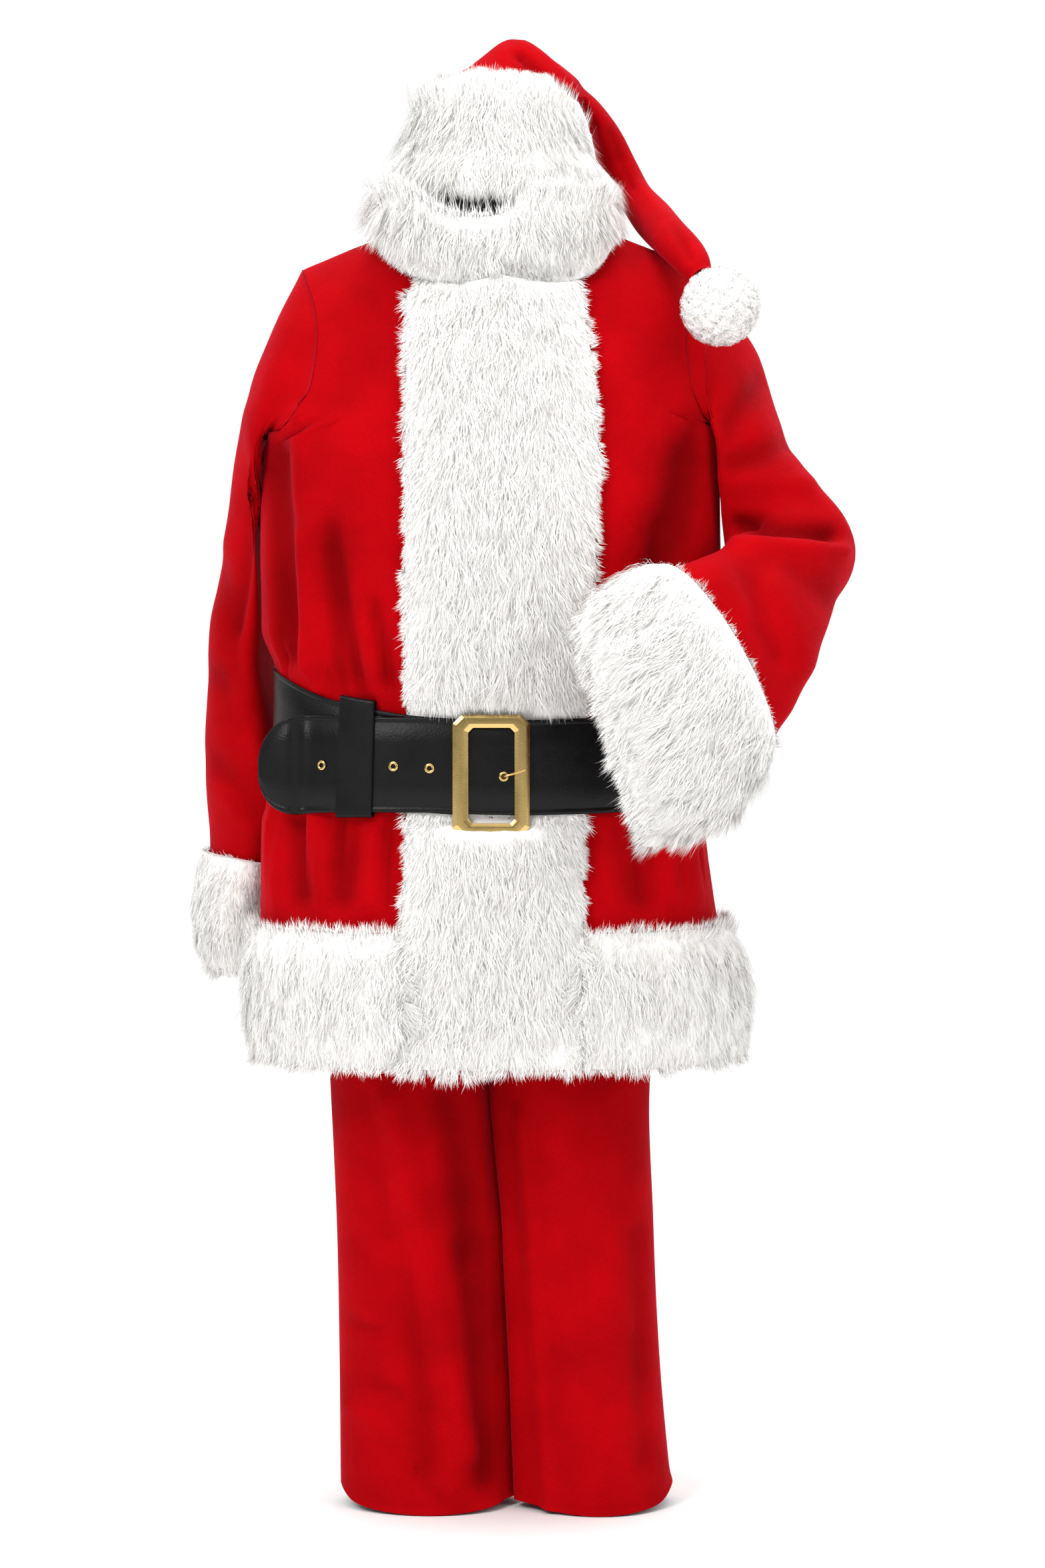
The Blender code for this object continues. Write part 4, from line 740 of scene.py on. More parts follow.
def armhole_loop(side, half):
    """Outer points round the armhole, from the armpit up the front and down the back."""
    share = BODY_ROWS / (BODY_ROWS + ARMHOLE_ROWS)
    v = np.linspace(share, 1, half + 1)[:, None]
    halves = []
    for face in (1, -1):
        points = panel_surface(side, face, np.array([[0.97, 1.0]]), v)[0]
        halves.append(points[:, 1] + unit(points[:, 1] - points[:, 0]) * SEAM)
    halves[0][-1] = halves[1][-1] = (halves[0][-1] + halves[1][-1]) / 2
    halves[0][0] = halves[1][0] = (halves[0][0] + halves[1][0]) / 2
    return np.concatenate([halves[0], halves[1][-2:0:-1]])


def clear_of_jacket(points, side, amount, armhole):
    """Points inside the jacket's side moved out past it, as a sleeve lies against the body."""
    x, y, height = points[..., 0], points[..., 1], points[..., 2]
    fur = 0.012 * ease((0.780 - height) / 0.03) + 0.024 * ease((0.715 - height) / 0.03)
    belt = 0.009 * np.exp(-(((height - 0.915) / 0.075) ** 4))
    room = 0.006 + fur + belt
    deep = np.abs(y - read(TORSO, "shift", height)) / (read(TORSO, "half_depth",
                                                            height) + room + FRONT_ROOM[side])
    oval = np.clip(1 - deep ** SQUARENESS, 0, 1) ** (1 / SQUARENESS)
    reach = side * read(TORSO, "middle", height) + (read(TORSO, "half_width", height) + room) * oval
    front = armhole[:len(armhole) // 2 + 1]
    at_armhole = np.interp(height, front[:, 2], side * front[:, 0]) + 0.007
    reach = np.where(height > ARMPIT_HEIGHT, np.minimum(reach, at_armhole), reach)
    limit = np.where(deep < 1, reach, -1.0)
    shift = np.clip(limit - side * x, 0, None) * amount
    for _ in range(14 if side < 0 else 0):
        shift = np.maximum(shift, np.maximum(np.roll(shift, 1, axis=1), np.roll(shift, -1, axis=1)) - 0.0020)
        shift[1:-1] = np.maximum(shift[1:-1], np.maximum(shift[2:], shift[:-2]) - 0.0025)
    shift = shift * amount
    for _ in range(8):
        padded = np.pad(np.concatenate([shift[:, -1:], shift, shift[:, :1]], 1), ((1, 1), (0, 0)), "edge")
        around = (padded[:-2, 1:-1] + padded[2:, 1:-1] + padded[1:-1, :-2] + padded[1:-1, 2:]) / 4
        shift = np.maximum(shift, around * amount)
    moved = points.copy()
    moved[..., 0] = x + side * shift
    return moved, np.exp(-(shift / 0.004) ** 2)


def neighbours(ring):
    """The mean of each point's neighbours on a tube: two along its row and two in the rows beside it."""
    around = (np.roll(ring, 1, axis=1) + np.roll(ring, -1, axis=1)) / 2
    beside = (np.concatenate([ring[:1], ring[:-1]]) + np.concatenate([ring[1:], ring[-1:]])) / 2
    return (around + beside) / 2


def sleeve_surface(side, stations, half):
    """Outer points and outward directions of a sleeve, from the armhole to the hand, creases included."""
    rows = SLEEVE_RIGHT if side < 0 else SLEEVE_LEFT
    share = np.linspace(0, 1, stations)
    front = np.pi * (1 - np.arange(half + 1) / half)
    angle = np.concatenate([front, -front[-2:0:-1]])
    points = ring_points(rows, share, angle, side)
    loop = armhole_loop(side, half)
    fade = np.clip(1 - share / 0.25, 0, 1)[:, None, None] ** 1.5
    points = points + (loop - points[0])[None] * fade
    middle = points.mean(1, keepdims=True)
    facing = np.clip(side * (middle - points)[..., 0] / 0.06, 0, 1)
    slack = INNER_SLACK[side] * np.exp(-(((points[..., 2] - 1.150) / 0.075) ** 4))
    points[..., 0] -= side * slack * facing * ease((0.50 - share) / 0.12)[:, None]
    amount = ease(share / 0.04)[:, None]
    free = np.ones(points.shape[:2])
    for _ in range(6):
        points, own = clear_of_jacket(points, side, amount, loop)
        free = np.minimum(free, own)
        points = points + (0.7 * (1 - free) * amount)[..., None] * (neighbours(points) - points)
    for _ in range(3):
        free = np.minimum(free, neighbours(free[..., None])[..., 0])
    for _ in range(8):
        points = points + (0.7 * (1 - free) * amount)[..., None] * (neighbours(points) - points)
    middle = points.mean(1, keepdims=True)
    normal = surface_normals(np.concatenate([points[:, -1:], points, points[:, :1]], 1),
                             np.concatenate([points[:, -1:], points, points[:, :1]], 1) - middle)[:, 1:-1]
    raised = front_back(points, normal, SLEEVE_CREASES[side])
    raised = raised + 0.0015 * ripples(points[..., 0] + 0.5 * points[..., 1], points[..., 2], 2.0 + side)
    calm = ease(share / 0.06) * ease((CUFF_START - share) / 0.06 + 0.25)
    raised = raised * calm[:, None] * free
    return points + normal * raised[..., None], normal, raised, share


def front_rows(rows):
    """Both front panels' points and outward directions as rows from the wearer's right to the left."""
    v = np.linspace(0, 1, rows)[:, None]
    u = np.linspace(0, 1, 61)[None, :]
    right, right_out, _ = panel_surface(-1, 1, u, v)
    left, left_out, _ = panel_surface(1, 1, u, v)
    return (np.concatenate([right[:, :0:-1], left], 1),
            np.concatenate([right_out[:, :0:-1], left_out], 1))


def along_rows(points, at):
    """Values of each row of points at fractional column numbers, by straight lines between columns."""
    low = np.clip(np.floor(at).astype(int), 0, points.shape[1] - 2)
    part = (at - low)[..., None]
    index = np.arange(len(points))[:, None]
    return points[index, low] * (1 - part) + points[index, low + 1] * part


def column_of(points, x):
    """Fractional column number where each row of points reaches x."""
    steps = np.arange(points.shape[1])
    return np.array([np.interp(want, row, steps) for want, row in zip(x, points[..., 0])])


# Fur


def grow(rng, roots, out, nap, pull, length, lift, width):
    """Hairs as narrow leaves of two triangles: a root, a bent middle and a tip.

    Each starts at its root between the outward and the nap direction, bends over towards the nap,
    and leans towards its tuft by the pull. Returns points, triangles, each point's share of the hair,
    and the directions for its shading: mostly the outward one, so that the pile looks soft.
    """
    count = len(roots)
    side = unit(np.cross(nap, out))
    sway = rng.normal(0, 0.13, (count, 1))
    first = unit(out * np.sin(lift + 0.50)[:, None] + nap * np.cos(lift + 0.50)[:, None] + side * sway)
    second = unit(out * np.sin(lift - 0.12)[:, None] + nap * np.cos(lift - 0.12)[:, None] + side * 2 * sway)
    middle = roots + first * (0.42 * length)[:, None] + 0.30 * pull
    tip = middle + second * (0.58 * length)[:, None] + 0.55 * pull
    flat = unit(np.cross(out, second) + out * rng.normal(0, 0.35, (count, 1)))
    flat = flat * np.where((np.cross(flat, first) * out).sum(1) < 0, -1, 1)[:, None]
    half = (width / 2)[:, None]
    points = np.stack([roots, middle + flat * half, tip, middle - flat * half], 1)
    shading = np.repeat(unit(out + (0, 0, 0.25) + rng.normal(0, 0.22, (count, 3))), 4, axis=0)
    number = np.arange(count)[:, None] * 4
    triangles = np.concatenate([number + np.array([0, 1, 3]), number + np.array([1, 2, 3])])
    along = np.tile([0.0, 0.5, 1.0, 0.5], count)
    return points.reshape(-1, 3), triangles, along, shading


def surface_hairs(rng, base, out, nap, reach, short, rising, count, length, tuft, around=False):
    """Hairs spread evenly over a grid surface, gathered in tufts of the given size, for a pile of that reach.

    Short is the share of its length that a hair keeps, where the pile is cut or pressed. Rising is
    the share of the hairs that stand against the nap. Some grow from the strip's cut edges, outwards.
    """
    if around:
        base, out, nap, reach, short, rising = (np.concatenate([grid, grid[:, :1]], 1)
                                                for grid in (base, out, nap, reach, short, rising))
    a, b, c, d = base[:-1, :-1], base[:-1, 1:], base[1:, 1:], base[1:, :-1]
    area = np.linalg.norm(np.cross(c - a, d - b), axis=-1)
    cell = rng.choice(area.size, count, p=(area / area.sum()).ravel())
    row, column = np.divmod(cell, area.shape[1])
    p, q = rng.random((2, count))
    wide = np.linalg.norm(np.diff(base, axis=0), axis=-1).sum(0).mean()
    rim_share = RIM_SHARE * 2 * reach[[0, -1]].mean() / (2 * reach[[0, -1]].mean() + wide)
    rim, upper = rng.random(count) < rim_share, rng.random(count) < 0.5
    selvedge = (rng.random(count) < 0.10) & ~rim & (not around)
    row = np.where(rim, np.where(upper, area.shape[0] - 1, 0), row)
    column = np.where(selvedge, np.where(upper, area.shape[1] - 1, 0), column)
    p, q = np.where(rim, 1.0 * upper, p), np.where(selvedge, 1.0 * upper, q)

    def sample(grid):
        """A grid read inside each cell: the sum of its four corners, each times its share."""
        weights = ((1 - p) * (1 - q), (1 - p) * q, p * (1 - q), p * q)
        corners = (grid[row, column], grid[row, column + 1], grid[row + 1, column], grid[row + 1, column + 1])
        shape = (-1,) + (1,) * (grid.ndim - 2)
        return sum(weight.reshape(shape) * corner for weight, corner in zip(weights, corners))

    down_step = np.linalg.norm(np.diff(base, axis=0), axis=-1).mean(1)
    side_step = np.linalg.norm(np.diff(base, axis=1), axis=-1).mean(0)
    down = np.interp(row + p, np.arange(len(down_step) + 1), np.concatenate([[0], np.cumsum(down_step)]))
    side = np.interp(column + q, np.arange(len(side_step) + 1), np.concatenate([[0], np.cumsum(side_step)]))
    here, there = np.floor(down / tuft).astype(int), np.floor((side + 0.5 * tuft * (np.floor(down / tuft) % 2)) / tuft).astype(int)
    table = rng.random((here.max() + 1, there.max() + 1, 5))
    own = table[here, there]
    from_down = down - (here + 0.15 + 0.7 * own[:, 0]) * tuft
    from_side = side - (there + 0.15 + 0.7 * own[:, 1] - 0.5 * (here % 2)) * tuft
    root, outwards, flow, deep = sample(base), unit(sample(out)), unit(sample(nap)), sample(reach)
    down_way = unit(sample(np.gradient(base, axis=0)))
    side_way = unit(sample(np.gradient(base, axis=1)))
    flow = unit(flow + side_way * (0.7 * (own[:, 2:3] - 0.5)))
    against = rng.random(count) < sample(rising)
    flow = np.where(against[:, None], unit(UPWARDS + 0.35 * flow * (1, 1, 0)), flow)
    beyond = np.where(rim[:, None], down_way, side_way) * np.where(upper, 1, -1)[:, None]
    spread = rng.uniform(0.25, 0.85, (count, 1))
    flow = np.where(rim[:, None], unit(flow * 0.15 + beyond * spread + outwards * (1 - spread)), flow)
    flow = np.where(selvedge[:, None], unit(flow * (0.4 + spread) + beyond + outwards * 0.1), flow)
    edge = rim | selvedge
    outwards = np.where(edge[:, None], unit(outwards + beyond * 0.8), outwards)
    stray = rng.random(count) < 0.16
    gather = np.where(stray, 0.0, 0.42)[:, None]
    pull = -gather * (down_way * from_down[:, None] + side_way * from_side[:, None])
    hair = length * (0.70 + 0.45 * own[:, 3]) * rng.uniform(0.75, 1.15, count) * np.where(stray, 1.15, 1.0)
    lift = np.radians(8 + 11 * own[:, 4]) + rng.normal(0, 0.12, count) + np.where(stray, 0.14, 0.0)
    deep_share = np.where(edge, rng.uniform(0.05, 0.80, count), rng.uniform(0.35, 0.72, count))
    root = root + unit(sample(out)) * (deep * deep_share)[:, None]
    width = rng.uniform(0.0005, 0.0011, count) * np.where(stray, 0.6, 1.0)
    hair = hair * np.where(edge, 0.35 + 0.35 * own[:, 3] ** 2 + 0.5 * rng.random(count) ** 3, 1.0)
    hair = hair * np.clip(deep / 0.018, 0.35, 1.1) * sample(short)
    points, triangles, along, shading = grow(rng, root, outwards, flow, pull, hair, lift, width)
    tone = np.repeat(0.5 * own[:, 2] + 0.5 * rng.random(count), 4)
    return points, triangles, along, tone, shading


def fur_piece(node, base, out, reach, nap, count, length, tuft, seed, around=False, short=None, rising=None):
    """A strip of long fur: a soft lumpy backing and the hairs that grow from it, joined in one piece."""
    rng = np.random.default_rng(seed)
    rows, columns = reach.shape
    short = np.ones(reach.shape) if short is None else short
    rising = np.zeros(reach.shape) if rising is None else rising + 0 * reach
    lump = 0.78 + 0.08 * lumps(0.35 * np.arange(rows)[:, None], 0.31 * np.arange(columns)[None, :])
    backing, faces = wall(base + out * (reach * lump)[..., None], base + out * 0.0002, around)
    points, triangles, along, tone, shading = surface_hairs(rng, base, out, nap, reach, short, rising, count,
                                                            length, tuft, around)
    piece = add_mesh(f"{node}_pile", np.concatenate([backing, points]), faces, triangles + len(backing),
                     {"along": np.concatenate([np.full(len(backing), 0.4), along]),
                      "tone": np.concatenate([np.full(len(backing), 0.5), tone])},
                     shading=np.concatenate([0 * backing, shading]))
    return finish_piece(piece, node, fur_paint())


def hang(out, pull_out=0.0):
    """The direction straight down along the surface, with a little of the outward one."""
    down = np.array([0.0, 0.0, -1.0])
    return unit(down - out * (out @ down)[..., None] + out * pull_out)


# Materials


class Paint:
    """A new material's nodes, with short calls to add and join them."""

    def __init__(self, name):
        """A Principled material of that name, with Object coordinates as the place of its patterns."""
        self.material = bpy.data.materials.new(name)
        self.material.use_nodes = True
        self.nodes = self.material.node_tree.nodes
        self.shader = self.nodes["Principled BSDF"]
        self.place = self.add("ShaderNodeTexCoord").outputs["Object"]

    def add(self, kind, **settings):
        """A new node: each setting goes to the socket of that name, or else to the node itself."""
        node = self.nodes.new(kind)
        for key, value in settings.items():
            if key in node.inputs:
                node.inputs[key].default_value = value
            else:
                setattr(node, key, value)
        return node

    def join(self, source, target):
        """A link from one socket to another."""
        self.material.node_tree.links.new(source, target)

    def noise(self, scale, detail=3.0, place=None):
        """Noise of a scale in turns per metre, read at the place."""
        node = self.add("ShaderNodeTexNoise", Scale=scale, Detail=detail)
        self.join(place or self.place, node.inputs["Vector"])
        return node.outputs["Fac"]

    def ramp(self, source, stops):
        """Colours along a value: stops are pairs of place and colour."""
        node = self.add("ShaderNodeValToRGB")
        elements = node.color_ramp.elements
        while len(elements) < len(stops):
            elements.new(0.5)
        for element, (place, colour) in zip(elements, stops):
            element.position = place
            element.color = (*colour, 1.0)
        self.join(source, node.inputs["Fac"])
        return node.outputs["Color"]

    def multiply(self, first, second, amount=1.0):
        """One colour times another, mixed in by an amount."""
        node = self.add("ShaderNodeMix", data_type="RGBA", blend_type="MULTIPLY")
        node.inputs[0].default_value = amount
        self.join(first, node.inputs[6])
        self.join(second, node.inputs[7])
        return node.outputs[2]

    def span(self, source, low, high):
        """A value from 0 to 1 spread evenly from low to high."""
        node = self.add("ShaderNodeMapRange")
        node.inputs["To Min"].default_value = low
        node.inputs["To Max"].default_value = high
        self.join(source, node.inputs["Value"])
        return node.outputs["Result"]

    def bump(self, layers):
        """Bumps one on another: each layer is a height and its depth in metres."""
        below = None
        for height, depth in layers:
            node = self.add("ShaderNodeBump", Distance=depth, Strength=1.0)
            self.join(height, node.inputs["Height"])
            if below:
                self.join(below, node.inputs["Normal"])
            below = node.outputs["Normal"]
        self.join(below, self.shader.inputs["Normal"])

    def set(self, **values):
        """Values put on the shader's own sockets; gives back the material."""
        for key, value in values.items():
            self.shader.inputs[key.replace("_", " ")].default_value = value
        return self.material


def once(name, make):
    """The material of that name, made the first time it is asked for."""
    return bpy.data.materials.get(name) or make(name)


def shade(colour, factor):
    """A colour times a factor, each part at most 1."""
    return tuple(min(1.0, factor * part) for part in colour[:3])


def velour():
    """Cut pile: two noises for nap and grain, times painted shade darkening the folds' troughs, with sheen over it."""
    def make(name):
        """The new material of that name."""
        colour = bpy.context.scene.suit_finish.velour_colour
        paint = Paint(name)
        marks = paint.noise(11, 4)
        pile = paint.noise(900, 2)
        nap = paint.ramp(marks, [(0.30, shade(colour, 0.82)), (0.62, shade(colour, 1.08))])
        grain = paint.ramp(pile, [(0.25, (0.80, 0.80, 0.80)), (0.75, (1.0, 1.0, 1.0))])
        fold = paint.add("ShaderNodeAttribute", attribute_name="fold").outputs["Fac"]
        # Painted shade: the pile's colour darkened down to 0.55 in the folds' troughs and kept full on their ridges.
        painted_fold_shade = paint.ramp(fold,
                            [(0.0, (0.55, 0.55, 0.55)), (0.5, (0.96, 0.96, 0.96)), (1.0, (1.0, 1.0, 1.0))])
        paint.join(paint.multiply(paint.multiply(nap, grain), painted_fold_shade), paint.shader.inputs["Base Color"])
        paint.join(paint.span(marks, 0.92, 0.76), paint.shader.inputs["Roughness"])
        paint.bump([(paint.noise(70, 4), 0.0010), (pile, 0.0006)])
        return paint.set(Sheen_Weight=0.30, Sheen_Roughness=0.32, Sheen_Tint=(1.0, 0.06, 0.13, 1.0),
                         Specular_IOR_Level=0.03)
    return once("red_velour_cut_pile", make)


def fur_paint():
    """Fur: painted shade darker towards the roots, times a tone of each hair's own."""
    def make(name):
        """The new material of that name."""
        colour = bpy.context.scene.suit_finish.fur_colour
        paint = Paint(name)
        along = paint.add("ShaderNodeAttribute", attribute_name="along").outputs["Fac"]
        tone = paint.add("ShaderNodeAttribute", attribute_name="tone").outputs["Fac"]
        # Painted shade: each hair's colour darkened towards its root, where shade falls deep in the pile.
        depth = paint.ramp(along, [(0.0, shade(colour, 0.92)), (0.4, shade(colour, 1.0)),
                                   (1.0, shade(colour, 1.02))])
        each = paint.ramp(tone, [(0.0, (0.965, 0.96, 0.95)), (1.0, (1.0, 1.0, 1.0))])
        paint.join(paint.multiply(depth, each), paint.shader.inputs["Base Color"])
        paint.join(paint.span(paint.noise(300, 2), 0.62, 0.80), paint.shader.inputs["Roughness"])
        return paint.set(Sheen_Weight=0.30, Sheen_Roughness=0.5, Specular_IOR_Level=0.15)
    return once("white_long_fur", make)


def strap_paint():
    """Leather: fine cells as grain, and a broad noise for worn, shinier places."""
    def make(name):
        """The new material of that name."""
        colour = bpy.context.scene.suit_finish.strap_colour
        paint = Paint(name)
        grain = paint.add("ShaderNodeTexVoronoi", Scale=520.0, feature="SMOOTH_F1")
        paint.join(paint.place, grain.inputs["Vector"])
        wear = paint.noise(26, 5)
        tone = paint.ramp(wear, [(0.3, shade(colour, 0.8)), (0.75, shade(colour, 1.5))])
        paint.join(tone, paint.shader.inputs["Base Color"])
        paint.join(paint.span(wear, 0.30, 0.46), paint.shader.inputs["Roughness"])
        paint.bump([(paint.noise(60, 3), 0.0004), (grain.outputs["Distance"], 0.00025)])
        return paint.set(Specular_IOR_Level=0.16, Coat_Weight=0.04, Coat_Roughness=0.35)
    return once("black_strap_leather", make)


def gold_paint():
    """Plated metal: a faint haze in tone and roughness, and a very fine bump."""
    def make(name):
        """The new material of that name."""
        colour = bpy.context.scene.suit_finish.metal_colour
        paint = Paint(name)
        haze = paint.noise(45, 4)
        tone = paint.ramp(haze, [(0.3, shade(colour, 0.92)), (0.7, shade(colour, 1.04))])
        paint.join(tone, paint.shader.inputs["Base Color"])
        paint.join(paint.span(haze, 0.10, 0.20), paint.shader.inputs["Roughness"])
        paint.bump([(paint.noise(700, 2), 0.00003)])
        return paint.set(Metallic=1.0)
    return once("polished_gold_plate", make)


def floor_paint():
    """A matt pale floor with a slight change of tone."""
    def make(name):
        """The new material of that name."""
        paint = Paint(name)
        tone = paint.ramp(paint.noise(0.8, 3), [(0.3, (0.86, 0.86, 0.86)), (0.7, (0.89, 0.89, 0.89))])
        paint.join(tone, paint.shader.inputs["Base Color"])
        paint.join(paint.span(paint.noise(2, 3), 0.75, 0.90), paint.shader.inputs["Roughness"])
        return paint.set(Specular_IOR_Level=0.1)
    return once("pale_floor", make)


def front_back(points, normal, front, back=()):
    """Creases pressed into a form from the front, and others from the back, fading at its outline."""
    facing = -normal[..., 1]
    x, height = points[..., 0], points[..., 2]
    return (creases(front, x, height) * ease((facing + 0.15) / 0.45)
            + creases(back, x, height) * ease((0.15 - facing) / 0.45))


def build_jacket():
    """Fronts and back of the jacket: the torso's squared oval with folds added along its normal."""
    for side, word in ((-1, "right"), (1, "left")):
        cloth_piece(f"jacket_front_{word}", *jacket_half(side, 1, 48, 124), False, "gathered",
                    ["jacket_back", "belt_strap"], ["front_fur_pile"] if side > 0 else [])
    right, left = (jacket_half(side, -1, 40, 104) for side in (-1, 1))
    grids = [np.concatenate([a[:, :0:-1], b], 1) for a, b in zip(right, left)]
    cloth_piece("jacket_back", *grids, False, "gathered",
                ["jacket_front_right", "jacket_front_left", "belt_strap"],
                ["hem_fur_pile", "collar_fur_pile"])


def build_sleeves():
    """Sleeves: ovals whose ends follow two tables of points, set into the armhole and creased."""
    for side, word in ((-1, "right"), (1, "left")):
        outer, normal, raised, _ = sleeve_surface(side, 104, 31)
        cloth_piece(f"sleeve_{word}", outer, outer - normal * CLOTH, raised, True, "hung",
                    [f"jacket_front_{word}", "jacket_back"], [f"cuff_fur_{word}_pile"])


def lap(points, side, u):
    """How the wearer's left leg laps over the front of the right one, and how the outseams' hems rise."""
    y, height = points[..., 1], points[..., 2]
    lip = np.exp(-(((y + 0.022) / 0.014) ** 2)) * ease((0.66 - height) / 0.08) * ease((0.5 - u) / 0.3)
    moved = np.zeros(points.shape)
    moved[..., 0] = (-0.013 if side > 0 else -0.006) * lip
    moved[..., 2] = 0.016 * ease((0.05 - height) / 0.05) * ease((u - 0.72) / 0.28) ** 2
    return moved


def build_trousers():
    """Trouser panels: ovals about each leg's middle line, split at inseam and outseam, and the waistband."""
    u, v = np.broadcast_arrays(np.linspace(0, 1, 38)[None, :], np.linspace(0, 1, 100)[:, None])
    for side, rows, word in ((-1, LEG_RIGHT, "right"), (1, LEG_LEFT, "left")):
        for face, place in ((1, "front"), (-1, "back")):
            base = leg_point(rows, side, face, u, v)
            middle = np.stack([read(rows, "middle", base[..., 2]), read(rows, "shift", base[..., 2]),
                               base[..., 2]], -1)
            normal = surface_normals(base, base - middle)
            raised = front_back(base, normal, TROUSER_CREASES, [])
            raised = raised + 0.0016 * ripples(base[..., 0], 0.7 * base[..., 2], 3.0 + side + face)
            calm = ease(u / 0.12) * ease((1 - u) / 0.12) * ease((0.56 - base[..., 2]) / 0.05)
            raised = raised * calm
            outer = base + normal * raised[..., None] + lap(base, side, u)
            outer[:, 0] = seam_back(outer[:, 0], outer[:, 1] - outer[:, 0])
            outer[:, -1] = seam_back(outer[:, -1], outer[:, -2] - outer[:, -1])
            cloth_piece(f"trouser_{place}_{word}", outer, outer - normal * CLOTH, raised, False, "hung",
                        ["trouser_waistband"])
    turns = np.linspace(0, 2 * np.pi, 97)[None, :-1]
    level = np.linspace(WAIST_LOW, WAIST_HIGH, 6)[:, None]
    outer = torso_lifted(turns, level, -CLOTH - LAYER_GAP)
    inner = torso_lifted(turns, level, -CLOTH - LAYER_GAP - WAISTBAND_WALL)
    outer[..., 2] = inner[..., 2] = level + belt_rise(turns, level)
    cloth_piece("trouser_waistband", outer, inner, 0.0, True, "gathered", ["jacket_back", "belt_strap"])


def build_crown():
    """Hat crown and tail: rings between two tables of points, from inside the band over the peak and down."""
    share = np.linspace(0, 1, 112)
    left, right = (np.stack([read_along(HAT_CROWN, f"{end}_x", share), read_along(HAT_CROWN, "y", share),
                             read_along(HAT_CROWN, f"{end}_z", share)], -1) for end in ("left", "right"))
    half = read_along(HAT_CROWN, "half", share)[:, None, None]
    middle = (left + right) / 2
    wide_way = (right - left) / 2
    across_path = unit(np.cross(wide_way, np.gradient(middle, axis=0)))
    across_path *= np.where(across_path[:, 1:2] > 0, -1, 1)
    turning = ease((share - CROWN_PEAK_END) / (TAIL_START - CROWN_PEAK_END))[:, None]
    thick_way = unit((1 - turning) * (0.0, -1.0, 0.0) + turning * across_path)
    angle = np.linspace(0, 2 * np.pi, 57)[None, :-1, None]
    points = middle[:, None] + wide_way[:, None] * np.cos(angle) + thick_way[:, None] * half * np.sin(angle)
    ring = np.concatenate([points[:, -1:], points, points[:, :1]], 1)
    normal = surface_normals(ring, ring - middle[:, None])[:, 1:-1]
    raised = front_back(points, normal, CROWN_CREASES)
    raised = raised + 0.0013 * ripples(1.6 * points[..., 0], points[..., 2], 0.6)
    raised = raised * ease((1 - share) / 0.06)[:, None]
    points = points + normal * raised[..., None]
    cloth_piece("hat_crown", points, points - normal * CLOTH, raised, True, "hung",
                ["hat_fur_band", "jacket_front_left"],
                ["hat_fur_band_pile", "hat_pompom_pile"])


# Fur trims


def build_front_fur():
    """The front strip: rows of the jacket's front between the strip's two edges, raised by its pile."""
    points, out = front_rows(170)
    low, high = strip_edges(points[:, 60, 2])
    narrower = STRIP_INSET * ease((points[:, 60, 2] - 0.712) / 0.02)
    low, high = low + narrower, high - narrower
    share = np.linspace(0, 1, 34)
    at = column_of(points, low)[:, None] * (1 - share) + column_of(points, high)[:, None] * share
    base, away = along_rows(points, at), unit(along_rows(out, at))
    v = np.linspace(0, 1, len(base))
    below = np.clip(v * (BODY_ROWS + ARMHOLE_ROWS) / BODY_ROWS, 0, 1) * BODY_ROWS
    level = np.interp(below, np.arange(BODY_ROWS + 1), BODY_LEVELS)[:, None]
    level[v > BODY_ROWS / (BODY_ROWS + ARMHOLE_ROWS)] = 9.0
    reach = FUR_EDGE + (FUR_REACH - FUR_EDGE) * rounded(share)[None, :] + 0 * level
    pressed = ease((level - 0.790) / 0.014) * ease((0.946 - level) / 0.014)
    reach = reach * (1 - pressed) + FUR_PRESSED * pressed
    reach = np.maximum(reach, 0.8 * FUR_REACH * ease((HEM_FUR_HIGH + 0.006 - level) / 0.012))
    reach[-6:] *= 0.8
    base = base + away * STRIP_GAP
    base[0, :, 2] += HEM_FUR_LOW - BODY_LEVELS[0]
    outwards = power(2 * share - 1, 3)[None, :, None]
    across = unit(np.gradient(base, axis=1))
    emerging = ease((0.816 - level) / 0.008)
    nap = unit(hang(away) + across * 0.6 * outwards + away * (0.8 * emerging * pressed)[..., None])
    guard = belt_top(base) + 0.010 * np.exp(-(((base[..., 0] - BUCKLE_MIDDLE_X) / 0.055) ** 6))
    own_length = 0.031 * np.clip(reach / 0.018, 0.35, 1.1)
    above_belt = np.clip((base[..., 2] - guard) / own_length, 0.06, 1)
    below_belt = 0.10 + emerging * (0.9 + 1.4 * pressed)
    behind_buckle = np.exp(-(((base[..., 0] - BUCKLE_MIDDLE_X) / 0.049) ** 8)) * ease((level - 0.788) / 0.003)
    below_belt = below_belt * (1 - 0.93 * behind_buckle)
    short = np.where(level > 0.85, above_belt, below_belt)
    short = short * (0.7 + 0.3 * ease(v / 0.05))[:, None]
    fur_piece("front_fur", base, away, reach, nap, 69000, 0.031, 0.014, 11, short=short)


def belt_top(points):
    """Height of the strap's upper edge over points on the jacket's front."""
    turn = turn_at(points[..., 0], np.full(points.shape[:2], BELT_MIDDLE))
    return torso(turn, BELT_MIDDLE + STRAP_HALF_HEIGHT)[..., 2]


